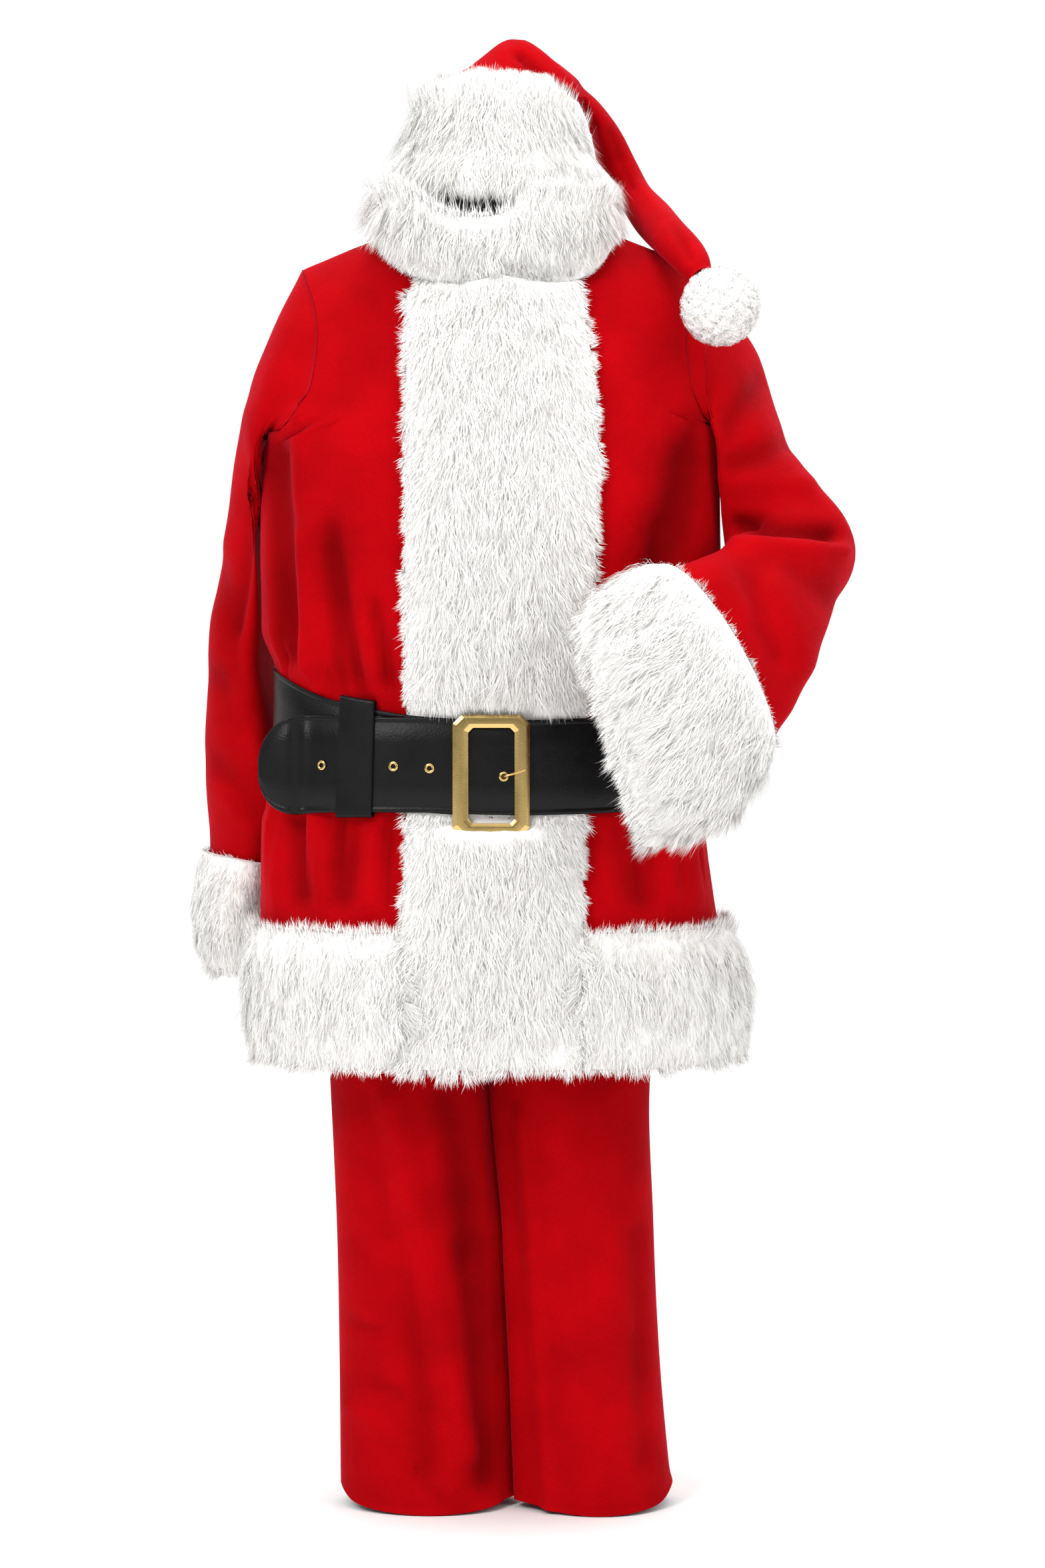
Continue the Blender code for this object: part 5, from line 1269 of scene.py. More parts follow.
def build_hem_fur():
    """The hem's fur: from the strip's edge round the back to its other edge."""
    top = np.interp(HEM_FUR_HIGH, BODY_LEVELS, np.arange(BODY_ROWS + 1)) / (BODY_ROWS + ARMHOLE_ROWS)
    v = np.linspace(0, top, 22)[:, None]
    wide = np.linspace(0, 1, 61)[None, :]
    edges = {}
    for side, x_edge in ((1, strip_edges(0.6)[1] + 0.002), (-1, strip_edges(0.6)[0] - 0.002)):
        points = panel_surface(side, 1, wide, v)[0]
        edges[side] = np.array([np.interp(side * x_edge, side * row, wide[0]) for row in points[...,
                                                                                                0]])[:, None]
    runs = []
    for side, face, backwards in ((1, 1, False), (1, -1, True), (-1, -1, False), (-1, 1, True)):
        start = edges[side] if face > 0 else 0.0
        u = start + (1 - start) * np.linspace(0, 1, 48)[None, :]
        grids = panel_surface(side, face, u, v)
        runs.append([grid[:, ::-1] if backwards else grid for grid in grids])
    base = np.concatenate([run[0][:, :-1] for run in runs[:3]] + [runs[3][0]], 1)
    out = unit(np.concatenate([run[1][:, :-1] for run in runs[:3]] + [runs[3][1]], 1))
    share = np.linspace(0, 1, len(base))[:, None]
    reach = HEM_FUR_EDGE + (HEM_FUR_REACH - HEM_FUR_EDGE) * rounded(0.15 + 0.85 * share) + 0 * base[..., 0]
    reach[:, :3] *= 0.85
    reach[:, -3:] *= 0.85
    base = base + out * LAYER_GAP
    base[0, :, 2] += HEM_FUR_LOW - BODY_LEVELS[0]
    nap = unit(hang(out) - np.array([0, 0, 1.6]) * power(0.12 - np.minimum(share, 0.12), 1)[..., None])
    nap = unit(nap + out * (0.5 * ease((share - 0.8) / 0.2))[..., None])
    short = 0.60 + 0.40 * ease(share / 0.5) + 0 * base[..., 0]
    fur_piece("hem_fur", base, out, reach, nap, 69000, 0.032, 0.016, 12, short=short,
              rising=0.7 * ease((share - 0.80) / 0.2))


def neck_loop(count):
    """The neckline's outer points: front right to left, then round the back."""
    u = np.linspace(0, NECK_COLUMNS / HALF_COLUMNS, count)[None, :]
    loops = []
    for side, face in ((-1, 1), (1, 1), (1, -1), (-1, -1)):
        top = panel_surface(side, face, u, np.array([[1.0]]))[0][0]
        loops.append((top[::-1] if (side, face) in ((-1, 1), (1, -1)) else top)[:-1])
    return np.concatenate(loops)


def build_collar():
    """The collar: the neck's loop carried up in rows to its top, with a dip in front."""
    foot = neck_loop(30)
    foot[:, 2] += 0.0024
    out = unit(foot * (1, 1, 0))
    rows = np.linspace(0, 1, 18)[:, None]
    dip = SLIT_DEPTH * np.exp(-(((foot[:, 0] + 0.030) / 0.050) ** 4)) * (foot[:, 1] < 0)
    height = foot[None, :, 2] + (COLLAR_TOP - dip - foot[:, 2])[None] * rows
    reach = COLLAR_WALL * (0.62 + 0.38 * rounded(0.9 * rows)) - COLLAR_LEAN * foot[None, :,
                                                                                   0] / NECK_HALF_WIDTH
    gather = np.interp(rows[:, 0], np.linspace(0, 1, 5), [-0.002, -0.006, -0.010, -0.012, -0.012])[:, None,
                                                                                                   None]
    base = foot[None] * (1, 1, 0) + out[None] * gather
    base[..., 2] = height
    away = np.broadcast_to(out[None], base.shape)
    rising = 0.8 * ease((rows - 0.60) / 0.4) * (1 - 0.7 * slit_share(base))
    nap = unit(np.array([0, 0, -1.0]) + away * 0.35)
    short = (1 - 0.35 * np.clip(base[..., 0] / 0.12, 0, 1)) * (0.30 + 0.70 * ease(rows / 0.6))
    short = short * (1 - 0.6 * slit_share(base) * (rows > 0.93))
    fur_piece("collar_fur", base, away, reach, nap, 52000, 0.034, 0.016, 13, around=True, short=short,
              rising=rising)


def slit_share(points):
    """1 in front of the dark slit between hat and collar, and 0 away from it."""
    return np.exp(-(((points[..., 0] + 0.030) / 0.052) ** 6)) * (points[..., 1] < 0)


def build_hat_band():
    """The hat's band: ovals carried up, lower at one side, their size read from a table at each height."""
    turns = np.linspace(0, 2 * np.pi, 121)[None, :-1]
    rise = np.linspace(0, 1, 26)[:, None]
    middle, half_width, half_depth, thick = (read(HAT_BAND, key, rise) for key in
                                             ("middle", "half_width", "half_depth", "wall"))
    lean = np.clip(np.sin(turns - np.radians(40)), 0, 1)
    z = HAT_BAND_LOW + (HAT_BAND_HEIGHT - 0.008 - 0.052 * lean) * rise
    outer = np.stack([middle + half_width * np.sin(turns), -half_depth * np.cos(turns), z], -1)
    base = np.stack([middle + (half_width - thick) * np.sin(turns), -(half_depth - thick) * np.cos(turns),
                     z], -1)
    away = unit(np.stack([np.sin(turns) + 0 * z, -np.cos(turns) + 0 * z, 0 * z], -1))
    nap = unit(np.array([0, 0, -1.0]) + away * 0.30)
    reach = np.linalg.norm(outer - base, axis=-1)
    short = 1 - 0.50 * slit_share(base) * ease((0.20 - rise) / 0.15) - 0.55 * ease((rise - 0.70) / 0.30)
    short = short + 0.2 * ease((0.2 - rise) / 0.2) * (1 - slit_share(base)) - 0.3 * np.clip(base[..., 0] / 0.12, 0, 1)
    fur_piece("hat_fur_band", base, away, reach, nap, 52000, 0.034, 0.017, 14, around=True, short=short,
              rising=0.9 * ease((rise - 0.62) / 0.38))


def build_cuffs():
    """The cuffs: each sleeve's last rings, carried on past its end and raised by their pile."""
    for side, word, count in ((-1, "right", 20000), (1, "left", 42000)):
        points, normal, _, share = sleeve_surface(side, 104, 31)
        kept = share >= CUFF_START - 1e-6
        ring, out = points[kept], normal[kept]
        part = np.linspace(0, 1, len(ring))[:, None]
        reach = FUR_EDGE + (FUR_REACH - FUR_EDGE) * rounded(part) + 0 * ring[..., 0]
        if side < 0:
            inwards = np.linspace(-1, 1, ring.shape[1], endpoint=False)[None, :]
            reach = reach * (0.8 - 0.4 * np.clip(2 * np.abs(inwards) - 1, 0, 1))
        base = ring + out * CUFF_GAP[side]
        onwards = unit(np.gradient(ring, axis=0))
        step = np.linspace(0, 1, 7)[1:, None, None]
        base = np.concatenate([base, base[-1] + onwards[-1] * CUFF_OVERHANG[side] * step - out[-1] * 0.010 * step ** 2])
        reach = np.concatenate([reach, reach[-1] + (0.012 * step[..., 0] * (1 - 0.6 * step[..., 0]))])
        out = unit(np.concatenate([out, out[-1] + onwards[-1] * 0.8 * step]))
        nap = unit(np.concatenate([onwards, onwards[-1] + 0 * step]) - np.array([0, 0, 0.5]))
        fur_piece(f"cuff_fur_{word}", base, out, reach, nap, count, 0.030, 0.015, 15 + side, around=True)


def build_pompom():
    """Ball of short curls: each lock's hairs turn round the lock's own middle and draw together."""
    rng = np.random.default_rng(21)
    number = np.arange(120)
    rise = 1 - (2 * number + 1) / len(number)
    spin = number * np.pi * (3 - np.sqrt(5))
    locks = unit(np.stack([np.sqrt(1 - rise ** 2) * np.cos(spin), np.sqrt(1 - rise ** 2) * np.sin(spin),
                           rise], -1)
                 + rng.normal(0, 0.05, (len(number), 3)))
    ball = bmesh.new()
    bmesh.ops.create_icosphere(ball, subdivisions=5, radius=1.0)
    shell = np.array([vert.co for vert in ball.verts])
    faces = np.array([[vert.index for vert in face.verts] for face in ball.faces])
    ball.free()

    def height(ways):
        """How far the curls stand out in those directions: a rounded lump for each lock."""
        near = np.sort(np.arccos(np.clip(ways @ locks.T, -1, 1)), axis=1)[:, :2]
        apart = np.clip((near[:, 1:] - near[:, :1]) / 0.20, 0, 1)
        return POMPOM_CORE + 0.0065 * np.sqrt(apart * (2 - apart)) - 0.0015

    shell = shell * height(shell)
    out = unit(rng.normal(0, 1, (11000, 3)))
    nearest = np.argmax(out @ locks.T, axis=1)
    lock = locks[nearest]
    swirl = unit(np.cross(lock, out) + 0.6 * (out - lock) / 0.12 * rng.normal(0, 1, (len(out), 1)))
    lift = rng.uniform(0.05, 0.45, len(out))
    points, triangles, along, shading = grow(rng, out * (height(out) - 0.0006),
                                             unit(out + 4.5 * (out - lock)),
                                             swirl, 0 * out,
                                             rng.uniform(0.004, 0.008, len(out)), lift,
                                             rng.uniform(0.0006, 0.0011, len(out)))
    tone = np.repeat(0.5 * rng.random(len(locks))[nearest] + 0.5 * rng.random(len(out)), 4)
    offset = len(shell)
    piece = add_mesh("hat_pompom_pile", np.concatenate([shell, points]) + POMPOM_PLACE, (),
                     np.concatenate([faces, triangles + offset]),
                     {"along": np.concatenate([np.full(offset, 0.55), along]),
                      "tone": np.concatenate([np.full(offset, 0.5), tone])},
                     shading=np.concatenate([0 * shell, shading]))
    finish_piece(piece, "hat_pompom", fur_paint())


# Belt and buckle

# The strap's edge and its embossed line, from the middle outwards: part of the half height and of the thickness
STRAP_PROFILE = [(0.00, 1.00), (0.40, 1.00), (0.855, 1.00), (0.870, 0.78), (0.892, 0.78), (0.907, 1.00),
                 (0.955, 1.00), (0.985, 0.86), (1.000, 0.55), (1.000, 0.30), (0.985, 0.05), (0.95, 0.00),
                 (0.40, 0.00)]


def profile_loop(turn, level, half, lift):
    """The strap's cross-section at each turn, rounded at the edges and with a pressed line along them."""
    places = STRAP_PROFILE[:0:-1] + STRAP_PROFILE
    signs = [1] * (len(STRAP_PROFILE) - 1) + [-1] * len(STRAP_PROFILE)
    loop = []
    for sign, (across, rise) in zip(signs, places):
        loop.append(torso_lifted(turn, level + sign * across * half, lift + rise * STRAP_THICKNESS))
    return np.stack(loop, -2)


def standing_off(turn, loops):
    """The tail past the keeper, stiff enough to leave the body's round and stand off almost flat."""
    level = second_level(turn)
    path = torso_lifted(turn, level, second_lift(turn))[:, :2]
    corner = np.array([np.interp(-TAIL_FREE_TURN, -turn, path[:, axis]) for axis in (0, 1)])
    free = ease((TAIL_FREE_TURN - turn) / np.radians(16))[:, None]
    stiff = corner + (path - corner) * ((TAIL_END_X - corner[0]) / (path[-1, 0] - corner[0]), 0.22)
    path = path * (1 - free) + stiff * free
    for _ in range(12):
        path[1:-1] = (path[:-2] + 2 * path[1:-1] + path[2:]) / 4
    along = unit(np.gradient(path, axis=0))
    out = np.stack([-along[:, 1], along[:, 0]], -1)
    out = out * np.where(out[:, 1:] > 0, -1, 1)
    rise = np.array([share for _, share in STRAP_PROFILE[:0:-1] + STRAP_PROFILE]) * STRAP_THICKNESS
    flat = loops.copy()
    flat[..., :2] = path[:, None] + out[:, None] * rise[None, :, None]
    loops = loops * (1 - free[..., None]) + flat * free[..., None]
    from_end = np.concatenate([np.cumsum(np.linalg.norm(np.diff(path, axis=0), axis=1)[::-1])[::-1],
                               [0]]) + 0.001
    rounding = np.sqrt(np.clip(1 - (1 - np.clip(from_end / STRAP_HALF_HEIGHT, 0, 1)) ** 2, 0, 1))[:, None]
    middle = (loops[..., 2].max(1) + loops[..., 2].min(1))[:, None] / 2
    loops[..., 2] = middle + (loops[..., 2] - middle) * rounding
    return loops


def build_strap():
    """One strip from the buckle's bar round the body and back through the buckle to its rounded tail."""
    start = float(turn_at(-0.052, BELT_MIDDLE))
    first = np.concatenate([[start], np.radians(np.arange(-14.0, -331.1, -1.5))])
    second = np.radians(np.concatenate([np.arange(22.5, -50.0, -1.5),
                                        np.arange(-50.0, TAIL_TURN + 0.1, -1.0)]))
    wrapped = (first + np.pi) % (2 * np.pi) - np.pi
    loops = np.concatenate([
        profile_loop(first, np.full(len(first), BELT_MIDDLE), STRAP_HALF_HEIGHT, belt_lift(wrapped)),
        standing_off(second,
                     profile_loop(second, second_level(second), STRAP_HALF_HEIGHT, second_lift(second)))])
    points, faces = loops.reshape(-1, 3), closed_rows(loops.shape[0], loops.shape[1])
    finish_piece(capped("belt_strap_leather", points, faces, loops.shape), "belt_strap",
                 strap_paint())


def closed_rows(rows, columns):
    """Faces of a grid whose last column joins the first."""
    numbers = np.arange(rows * columns).reshape(rows, columns)
    return quads(np.hstack([numbers, numbers[:, :1]]))


def capped(name, points, faces, shape, smooth=True):
    """A tube whose two end rings are closed by a fan to each ring's middle."""
    rows, columns = shape[:2]
    first, last = np.arange(columns), (rows - 1) * columns + np.arange(columns)
    points = np.concatenate([points, points[first].mean(0)[None], points[last].mean(0)[None]])
    fans = np.concatenate([
        np.stack([np.roll(first, -1), first, np.full(columns, rows * columns)], -1),
        np.stack([last, np.roll(last, -1), np.full(columns, rows * columns + 1)], -1)])
    if volume_sign(points, faces) < 0:
        faces, fans = faces[:, ::-1], fans[:, ::-1]
    return add_mesh(name, points, faces, fans, smooth=smooth)


def build_keeper():
    """Loop round both layers of the strap, with softened corners."""
    turn = np.radians(np.linspace(-37.5, -26.25, 16))
    spare = np.interp(turn, [turn[0], turn[-1]], [0.006, 0.009])[:, None]
    under = strap_layer(turn, np.full(len(turn), BELT_MIDDLE), STRAP_HALF_HEIGHT, belt_lift(turn))
    over = strap_layer(turn, second_level(turn), STRAP_HALF_HEIGHT, second_lift(turn))
    up = unit(under[:, 0] - under[:, 1])
    out = unit(under[:, 0] - under[:, 3])
    drop = under[:, 1, 2:] - over[:, 1, 2:]
    low_back = torso_lifted(turn, level_at(turn, over[:, 1, 2]) - 0.004, 0.0006)
    dome = 0.0008 * np.sin(np.linspace(0, np.pi, len(turn)))[:, None] ** 0.5
    loops = []
    for thick in (0.0, KEEPER_THICKNESS):
        back_top = under[:, 3] + up * (spare + thick) - out * (0.0004 + 0.6 * thick)
        front_top = over[:, 0] + up * (spare + drop + thick) + out * (0.0010 + thick)
        front_bottom = over[:, 1] - up * (0.004 + thick) + out * (0.0010 + thick)
        back_bottom = low_back + out * (0.0011 - 0.6 * thick) - up * thick
        if thick:
            front_top, front_bottom = front_top + out * dome, front_bottom + out * dome
        corners = np.stack([back_top, front_top, front_bottom, back_bottom], 1)
        for cut in (0.04, 0.25, 0.25):
            following = np.roll(corners, -1, axis=1)
            corners = np.stack([corners * (1 - cut) + following * cut, corners * cut + following * (1 - cut)],
                               2).reshape(len(turn), -1, 3)
        loops.append(corners)
    piece = add_mesh("belt_keeper_leather", *wall(loops[1], loops[0], around=True))
    finish_piece(piece, "belt_keeper", strap_paint())


# Rings of the buckle's cross-section: share from the outer edge to the window's, and height above its back
BUCKLE_PROFILE = [(0.0, 0.0), (0.0, 0.0022), (0.05, 0.0027), (0.24, 0.0039), (0.30, 0.0041), (0.70, 0.0041),
                  (0.76, 0.0039), (0.95, 0.0027), (1.0, 0.0022), (1.0, 0.0)]


def build_buckle():
    """Frame with cut corners: its cross-section runs from the outer edge's rectangle to the window's."""
    edge = rectangle(BUCKLE_MIDDLE_X, BUCKLE_HEIGHT, BUCKLE_HALF_WIDTH, BUCKLE_HALF_HEIGHT, CORNER_CUT)
    window = rectangle(WINDOW_MIDDLE_X, BUCKLE_HEIGHT, WINDOW_HALF_WIDTH, WINDOW_HALF_HEIGHT, 0.005)
    loops = []
    for share, rise in BUCKLE_PROFILE:
        ring = edge * (1 - share) + window * share
        loops.append(np.column_stack([ring[:, 0], np.full(8, buckle_plane() - rise), ring[:, 1]]))
    numbers = np.arange(len(loops) * 8).reshape(-1, 8)
    numbers = np.vstack([numbers, numbers[:1]])
    faces = quads(np.hstack([numbers, numbers[:, :1]]))
    points = np.concatenate(loops)
    if volume_sign(points, faces) < 0:
        faces = faces[:, ::-1]
    piece = add_mesh("buckle_frame_metal", points, faces, smooth=False)
    soften(piece, 0.0005, 3)
    finish_piece(piece, "buckle_frame", gold_paint())


def soften(piece, width, segments):
    """Rounds the piece's sharper edges by a bevel of that width."""
    work = bmesh.new()
    work.from_mesh(piece.data)
    sharp = [edge for edge in work.edges if edge.calc_face_angle(0) > 0.12]
    bmesh.ops.bevel(work, geom=sharp, offset=width, segments=segments, affect="EDGES", profile=0.6)
    work.to_mesh(piece.data)
    work.free()
    piece.data.set_sharp_from_angle(angle=0.5)
    piece.data.shade_smooth()


def strap_front(x, height):
    """A point on the outer side of the strap's second layer."""
    turn = turn_at(x, BELT_MIDDLE)
    top, bottom = strap_layer(turn, second_level(turn), STRAP_HALF_HEIGHT, second_lift(turn))[:2]
    share = (height - bottom[2]) / (top[2] - bottom[2])
    return bottom + (top - bottom) * share


def build_prong():
    """The prong: a smoothed line of knots as path, carrying a small section."""
    root = strap_front(0.003, 0.853)
    tip_y = buckle_plane() - BUCKLE_THICKNESS - 0.0017
    knots = np.array([(0.003, root[1] - 0.0007, 0.853), (0.003, (root[1] + tip_y) / 2, 0.853),
                      (0.006, tip_y - 0.0005, 0.854), (0.016, tip_y - 0.0008, 0.857), (0.029, tip_y, 0.861)])
    path = np.stack([np.interp(np.linspace(0, 4, 33), np.arange(5), knots[:, axis]) for axis in range(3)], -1)
    for _ in range(6):
        path[1:-1] = (path[:-2] + 2 * path[1:-1] + path[2:]) / 4
    along = unit(np.gradient(path, axis=0))
    across = unit(np.cross(along, (0.31, 0.11, 0.94)))
    other = np.cross(along, across)
    angle = np.linspace(0, 2 * np.pi, 17)[None, :-1, None]
    thin = np.interp(np.linspace(0, 1, 33), [0, 0.9, 0.97, 1], [1, 1, 0.85, 0.5])[:, None, None]
    rings = path[:, None] + 0.0013 * thin * (across[:, None] * np.cos(angle) + other[:, None] * np.sin(angle))
    piece = capped("buckle_prong_metal", rings.reshape(-1, 3), closed_rows(33, 16), (33, 16))
    finish_piece(piece, "buckle_prong", gold_paint())


def build_eyelets():
    """The eyelets: one ring's profile turned round the strap's outward direction at each place."""
    profile = [(0.0056, 0.0004), (0.0056, 0.0008), (0.0053, 0.0012), (0.0046, 0.0016), (0.0040, 0.0017),
               (0.0034, 0.0016), (0.0029, 0.0013), (0.0026, 0.0010), (0.0026, 0.0004)]
    for number, (x, height) in enumerate(EYELETS, 1):
        middle = strap_front(x, height)
        across = unit(strap_front(x + 0.004, height) - strap_front(x - 0.004, height))
        out = np.cross(across, (0.0, 0.0, 1.0))
        up = np.cross(across, out)
        angle = np.linspace(0, 2 * np.pi, 41)[:-1]
        spin = across * np.cos(angle)[:, None] + up * np.sin(angle)[:, None]
        loops = np.array([middle + spin * radius + out * rise for radius, rise in profile])
        numbers = np.arange(len(profile) * 40).reshape(-1, 40)
        numbers = np.vstack([numbers, numbers[:1]])
        faces = quads(np.hstack([numbers, numbers[:, :1]]))
        points = loops.reshape(-1, 3)
        if volume_sign(points, faces) < 0:
            faces = faces[:, ::-1]
        piece = add_mesh(f"belt_eyelet_{number}_metal", points, faces)
        finish_piece(piece, f"belt_eyelet_{number}", gold_paint())


# Stage


def area_light(name, place, target, size, watts, colour=(1.0, 1.0, 1.0)):
    """A disc light at a place, turned to face its target."""
    light = bpy.data.lights.new(name, "AREA")
    light.shape, light.size, light.energy, light.color = "DISK", size, watts, colour
    holder = bpy.data.objects.new(name, light)
    holder.location = place
    holder.rotation_euler = (Vector(target) - Vector(place)).to_track_quat("-Z", "Y").to_euler()
    bpy.context.scene.collection.objects.link(holder)
    return holder


def build_stage():
    """The floor disc, the room's light, the lamps and the camera."""
    settings = bpy.context.scene.suit_stage
    scene = bpy.context.scene
    ring = np.linspace(0, 2 * np.pi, 65)[:-1]
    rim = np.stack([14 * np.cos(ring), 14 * np.sin(ring), np.full(64, -0.001)], -1)
    points = np.concatenate([rim, [[0, 0, -0.001]]])
    fan = np.stack([np.arange(64), np.roll(np.arange(64), -1), np.full(64, 64)], -1)
    floor = add_mesh("studio_floor", points, np.zeros((0, 4)), fan)
    floor.data.materials.append(floor_paint())
    world = bpy.data.worlds.new("studio_world")
    world.use_nodes = True
    links, nodes = world.node_tree.links, world.node_tree.nodes
    back = nodes["Background"]
    back.inputs["Color"].default_value = (1.0, 1.0, 1.0, 1.0)
    ways = nodes.new("ShaderNodeSeparateXYZ")
    links.new(nodes.new("ShaderNodeTexCoord").outputs["Generated"], ways.inputs["Vector"])
    wall_behind = nodes.new("ShaderNodeMapRange")
    for key, value in (("From Min", 0.0), ("From Max", 0.8), ("To Min", settings.world_strength),
                       ("To Max", 1.0)):
        wall_behind.inputs[key].default_value = value
    links.new(ways.outputs["Y"], wall_behind.inputs["Value"])
    ceiling = nodes.new("ShaderNodeMapRange")
    for key, value in (("From Min", 0.25), ("From Max", 0.9), ("To Min", 0.0),
                       ("To Max", settings.ceiling_strength)):
        ceiling.inputs[key].default_value = value
    links.new(ways.outputs["Z"], ceiling.inputs["Value"])
    total = nodes.new("ShaderNodeMath")
    links.new(wall_behind.outputs["Result"], total.inputs[0])
    links.new(ceiling.outputs["Result"], total.inputs[1])
    links.new(total.outputs["Value"], back.inputs["Strength"])
    scene.world = world
    key = area_light("key_light", (-2.2, -3.4, 1.9), (0, 0, -0.5), 1.8, settings.key_watts)
    fill = area_light("fill_light", (3.0, -2.6, 0.6), (0, 0, -0.6), 2.4, settings.key_watts * 0.35)
    top = area_light("top_light", (0.3, -0.6, 2.6), (0, 0, -0.4), 1.8, settings.key_watts * 0.45)
    camera = bpy.data.cameras.new("studio_camera")
    camera.sensor_fit = "VERTICAL"
    camera.sensor_height = 36.0
    camera.lens = settings.lens
    camera.dof.use_dof = False
    holder = bpy.data.objects.new("studio_camera", camera)
    centre = Vector((0.024, 0.0, 0.837 - ORIGIN_HEIGHT))
    holder.location = (centre.x, -settings.distance, settings.camera_height - ORIGIN_HEIGHT)
    holder.rotation_euler = (centre - holder.location).to_track_quat("-Z", "Y").to_euler()
    scene.collection.objects.link(holder)
    scene.camera = holder
    scene.view_settings.view_transform = "Standard"


# The add-on's settings, operators and panel


class SuitFinish(bpy.types.PropertyGroup):
    """Colours of the suit's cloth, fur, strap and metal."""

    velour_colour: bpy.props.FloatVectorProperty(
        name="Velour", description="Colour of the red cloth", subtype="COLOR", size=3,
        default=(0.440, 0.0004, 0.003), min=0, max=1)
    fur_colour: bpy.props.FloatVectorProperty(
        name="Fur", description="Colour of the fur's tips", subtype="COLOR", size=3,
        default=(0.915, 0.905, 0.89), min=0, max=1)
    strap_colour: bpy.props.FloatVectorProperty(
        name="Strap", description="Colour of the belt", subtype="COLOR", size=3,
        default=(0.003, 0.003, 0.0036), min=0, max=1)
    metal_colour: bpy.props.FloatVectorProperty(
        name="Metal", description="Colour of the buckle, prong and eyelets", subtype="COLOR", size=3,
        default=(0.64, 0.45, 0.17), min=0, max=1)


class SuitStage(bpy.types.PropertyGroup):
    """Camera and light of the studio."""

    distance: bpy.props.FloatProperty(
        name="Distance", description="From the suit's origin to the camera", default=4.6, unit="LENGTH")
    camera_height: bpy.props.FloatProperty(
        name="Camera height", description="Above the trouser hem", default=1.05, unit="LENGTH")
    lens: bpy.props.FloatProperty(
        name="Lens", description="Focal length in millimetres for a 36 mm high frame", default=91.6)
    key_watts: bpy.props.FloatProperty(name="Key light", description="Power of the key light in watts",
                                       default=105.0)
    world_strength: bpy.props.FloatProperty(
        name="Room light", description="Strength of the surroundings in front of the suit", default=0.35)
    ceiling_strength: bpy.props.FloatProperty(
        name="Ceiling light", description="Strength that the surroundings gain overhead", default=1.1)


class Builder:
    """What the suit's operators share: each runs its own list of pieces."""

    bl_options = {"REGISTER", "UNDO"}
    makers = ()

    def execute(self, context):
        """Makes this operator's pieces in their order."""
        for make in self.makers:
            make()
        return {"FINISHED"}


class SUIT_OT_fur_trims(Builder, bpy.types.Operator):
    """Builds the front strip, hem band, collar, hat band and cuffs of long fur"""

    bl_idname = "santa_suit.fur_trims"
    bl_label = "Fur trims"
    makers = (build_front_fur, build_hem_fur, build_collar, build_hat_band, build_cuffs)


class SUIT_OT_pompom(Builder, bpy.types.Operator):
    """Builds the hat's pompom of short curls"""

    bl_idname = "santa_suit.pompom"
    bl_label = "Pompom"
    makers = (build_pompom,)


class SUIT_OT_belt(Builder, bpy.types.Operator):
    """Builds the strap and its keeper"""

    bl_idname = "santa_suit.belt"
    bl_label = "Belt"
    makers = (build_strap, build_keeper)


class SUIT_OT_buckle(Builder, bpy.types.Operator):
    """Builds the buckle's frame, its prong and the eyelets"""

    bl_idname = "santa_suit.buckle"
    bl_label = "Buckle"
    makers = (build_buckle, build_prong, build_eyelets)


class SUIT_OT_jacket(Builder, bpy.types.Operator):
    """Builds the jacket's fronts and back"""

    bl_idname = "santa_suit.jacket"
    bl_label = "Jacket"
    makers = (build_jacket,)


class SUIT_OT_sleeves(Builder, bpy.types.Operator):
    """Builds the hanging and the bent sleeve"""

    bl_idname = "santa_suit.sleeves"
    bl_label = "Sleeves"
    makers = (build_sleeves,)


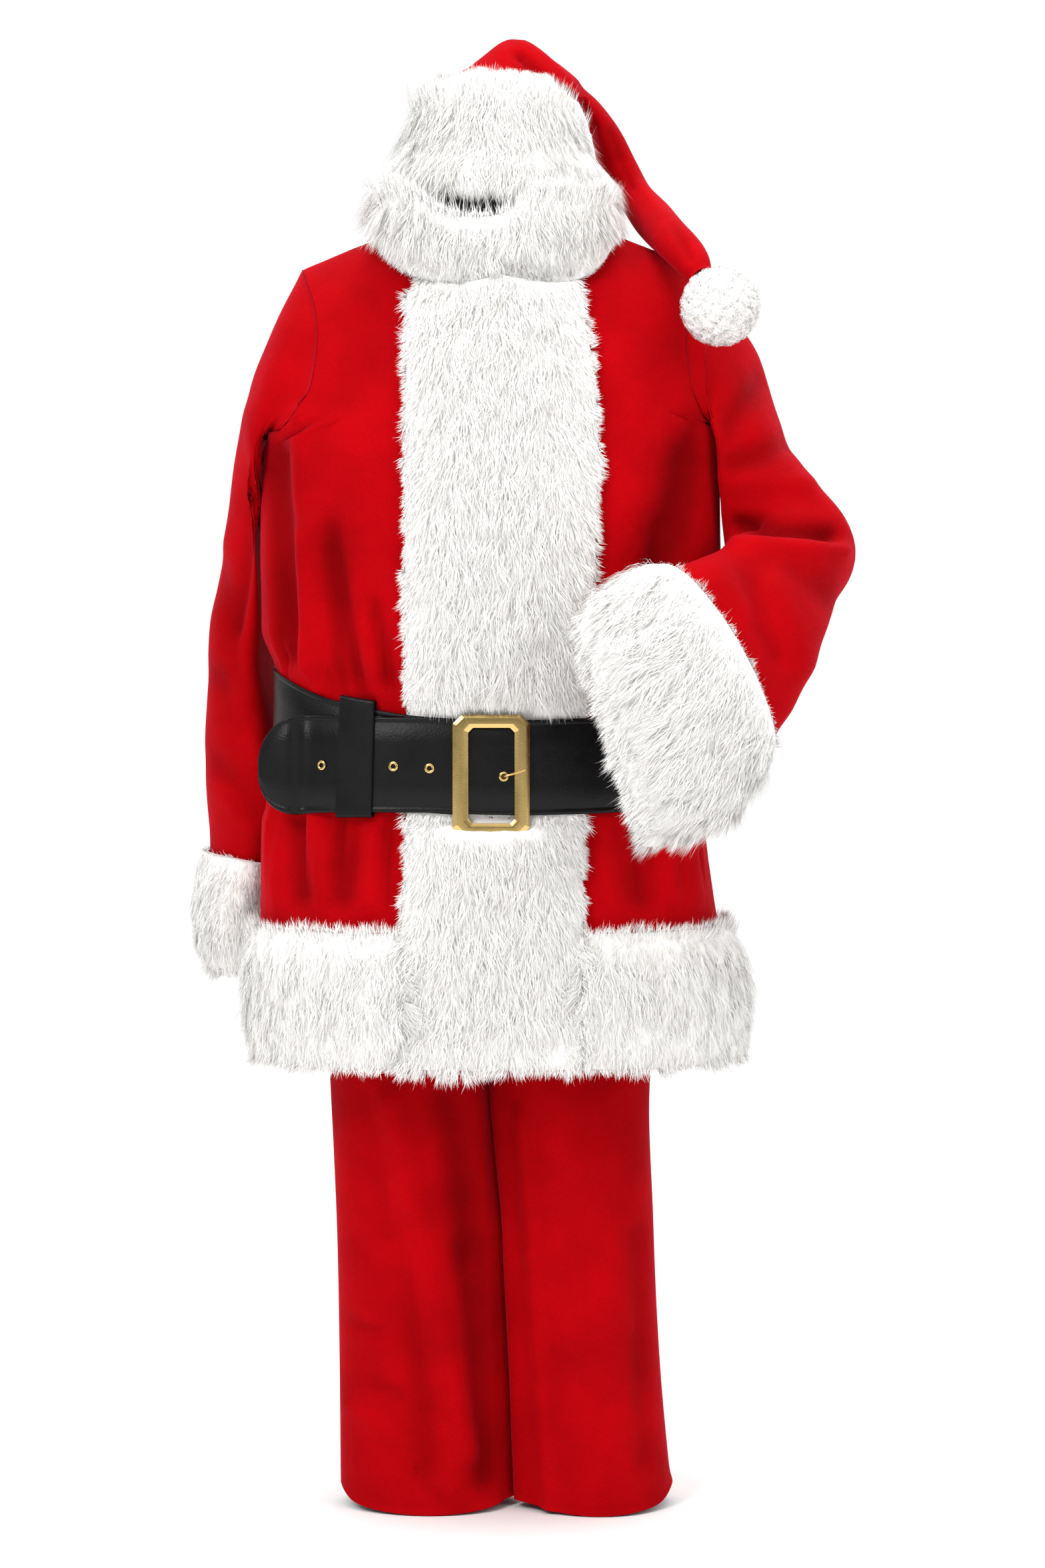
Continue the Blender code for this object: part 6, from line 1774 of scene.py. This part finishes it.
class SUIT_OT_trousers(Builder, bpy.types.Operator):
    """Builds the trousers' panels and waistband"""

    bl_idname = "santa_suit.trousers"
    bl_label = "Trousers"
    makers = (build_trousers,)


class SUIT_OT_hat_crown(Builder, bpy.types.Operator):
    """Builds the hat's crown and tail"""

    bl_idname = "santa_suit.hat_crown"
    bl_label = "Hat crown"
    makers = (build_crown,)


class SUIT_OT_stage(Builder, bpy.types.Operator):
    """Builds the floor, lights and camera"""

    bl_idname = "santa_suit.stage"
    bl_label = "Studio"
    makers = (build_stage,)


OPERATORS = (SUIT_OT_fur_trims, SUIT_OT_pompom, SUIT_OT_belt, SUIT_OT_buckle, SUIT_OT_jacket, SUIT_OT_sleeves,
             SUIT_OT_trousers, SUIT_OT_hat_crown, SUIT_OT_stage)


class SUIT_PT_panel(bpy.types.Panel):
    """Lists the suit's settings and build steps in the sidebar"""

    bl_label = "Santa suit"
    bl_space_type = "VIEW_3D"
    bl_region_type = "UI"
    bl_category = "Suit"

    def draw(self, context):
        """Lists the sizes, the colours and the operators."""
        for group in (context.scene.suit_finish, context.scene.suit_stage):
            for key in group.__annotations__:
                self.layout.prop(group, key)
        for operator in OPERATORS:
            self.layout.operator(operator.bl_idname)


CLASSES = (SuitFinish, SuitStage, *OPERATORS, SUIT_PT_panel)


def register():
    """Registers the classes and gives the scene its two groups of settings."""
    for item in CLASSES:
        bpy.utils.register_class(item)
    bpy.types.Scene.suit_finish = bpy.props.PointerProperty(type=SuitFinish)
    bpy.types.Scene.suit_stage = bpy.props.PointerProperty(type=SuitStage)


def unregister():
    """Takes back what register adds, in the other order."""
    del bpy.types.Scene.suit_finish
    del bpy.types.Scene.suit_stage
    for item in reversed(CLASSES):
        bpy.utils.unregister_class(item)


def main():
    """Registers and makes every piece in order."""
    register()
    suit = bpy.ops.santa_suit
    for step in (suit.fur_trims, suit.pompom, suit.belt, suit.buckle, suit.jacket, suit.sleeves,
                 suit.trousers,
                 suit.hat_crown, suit.stage):
        step()


if __name__ == "__main__":
    main()
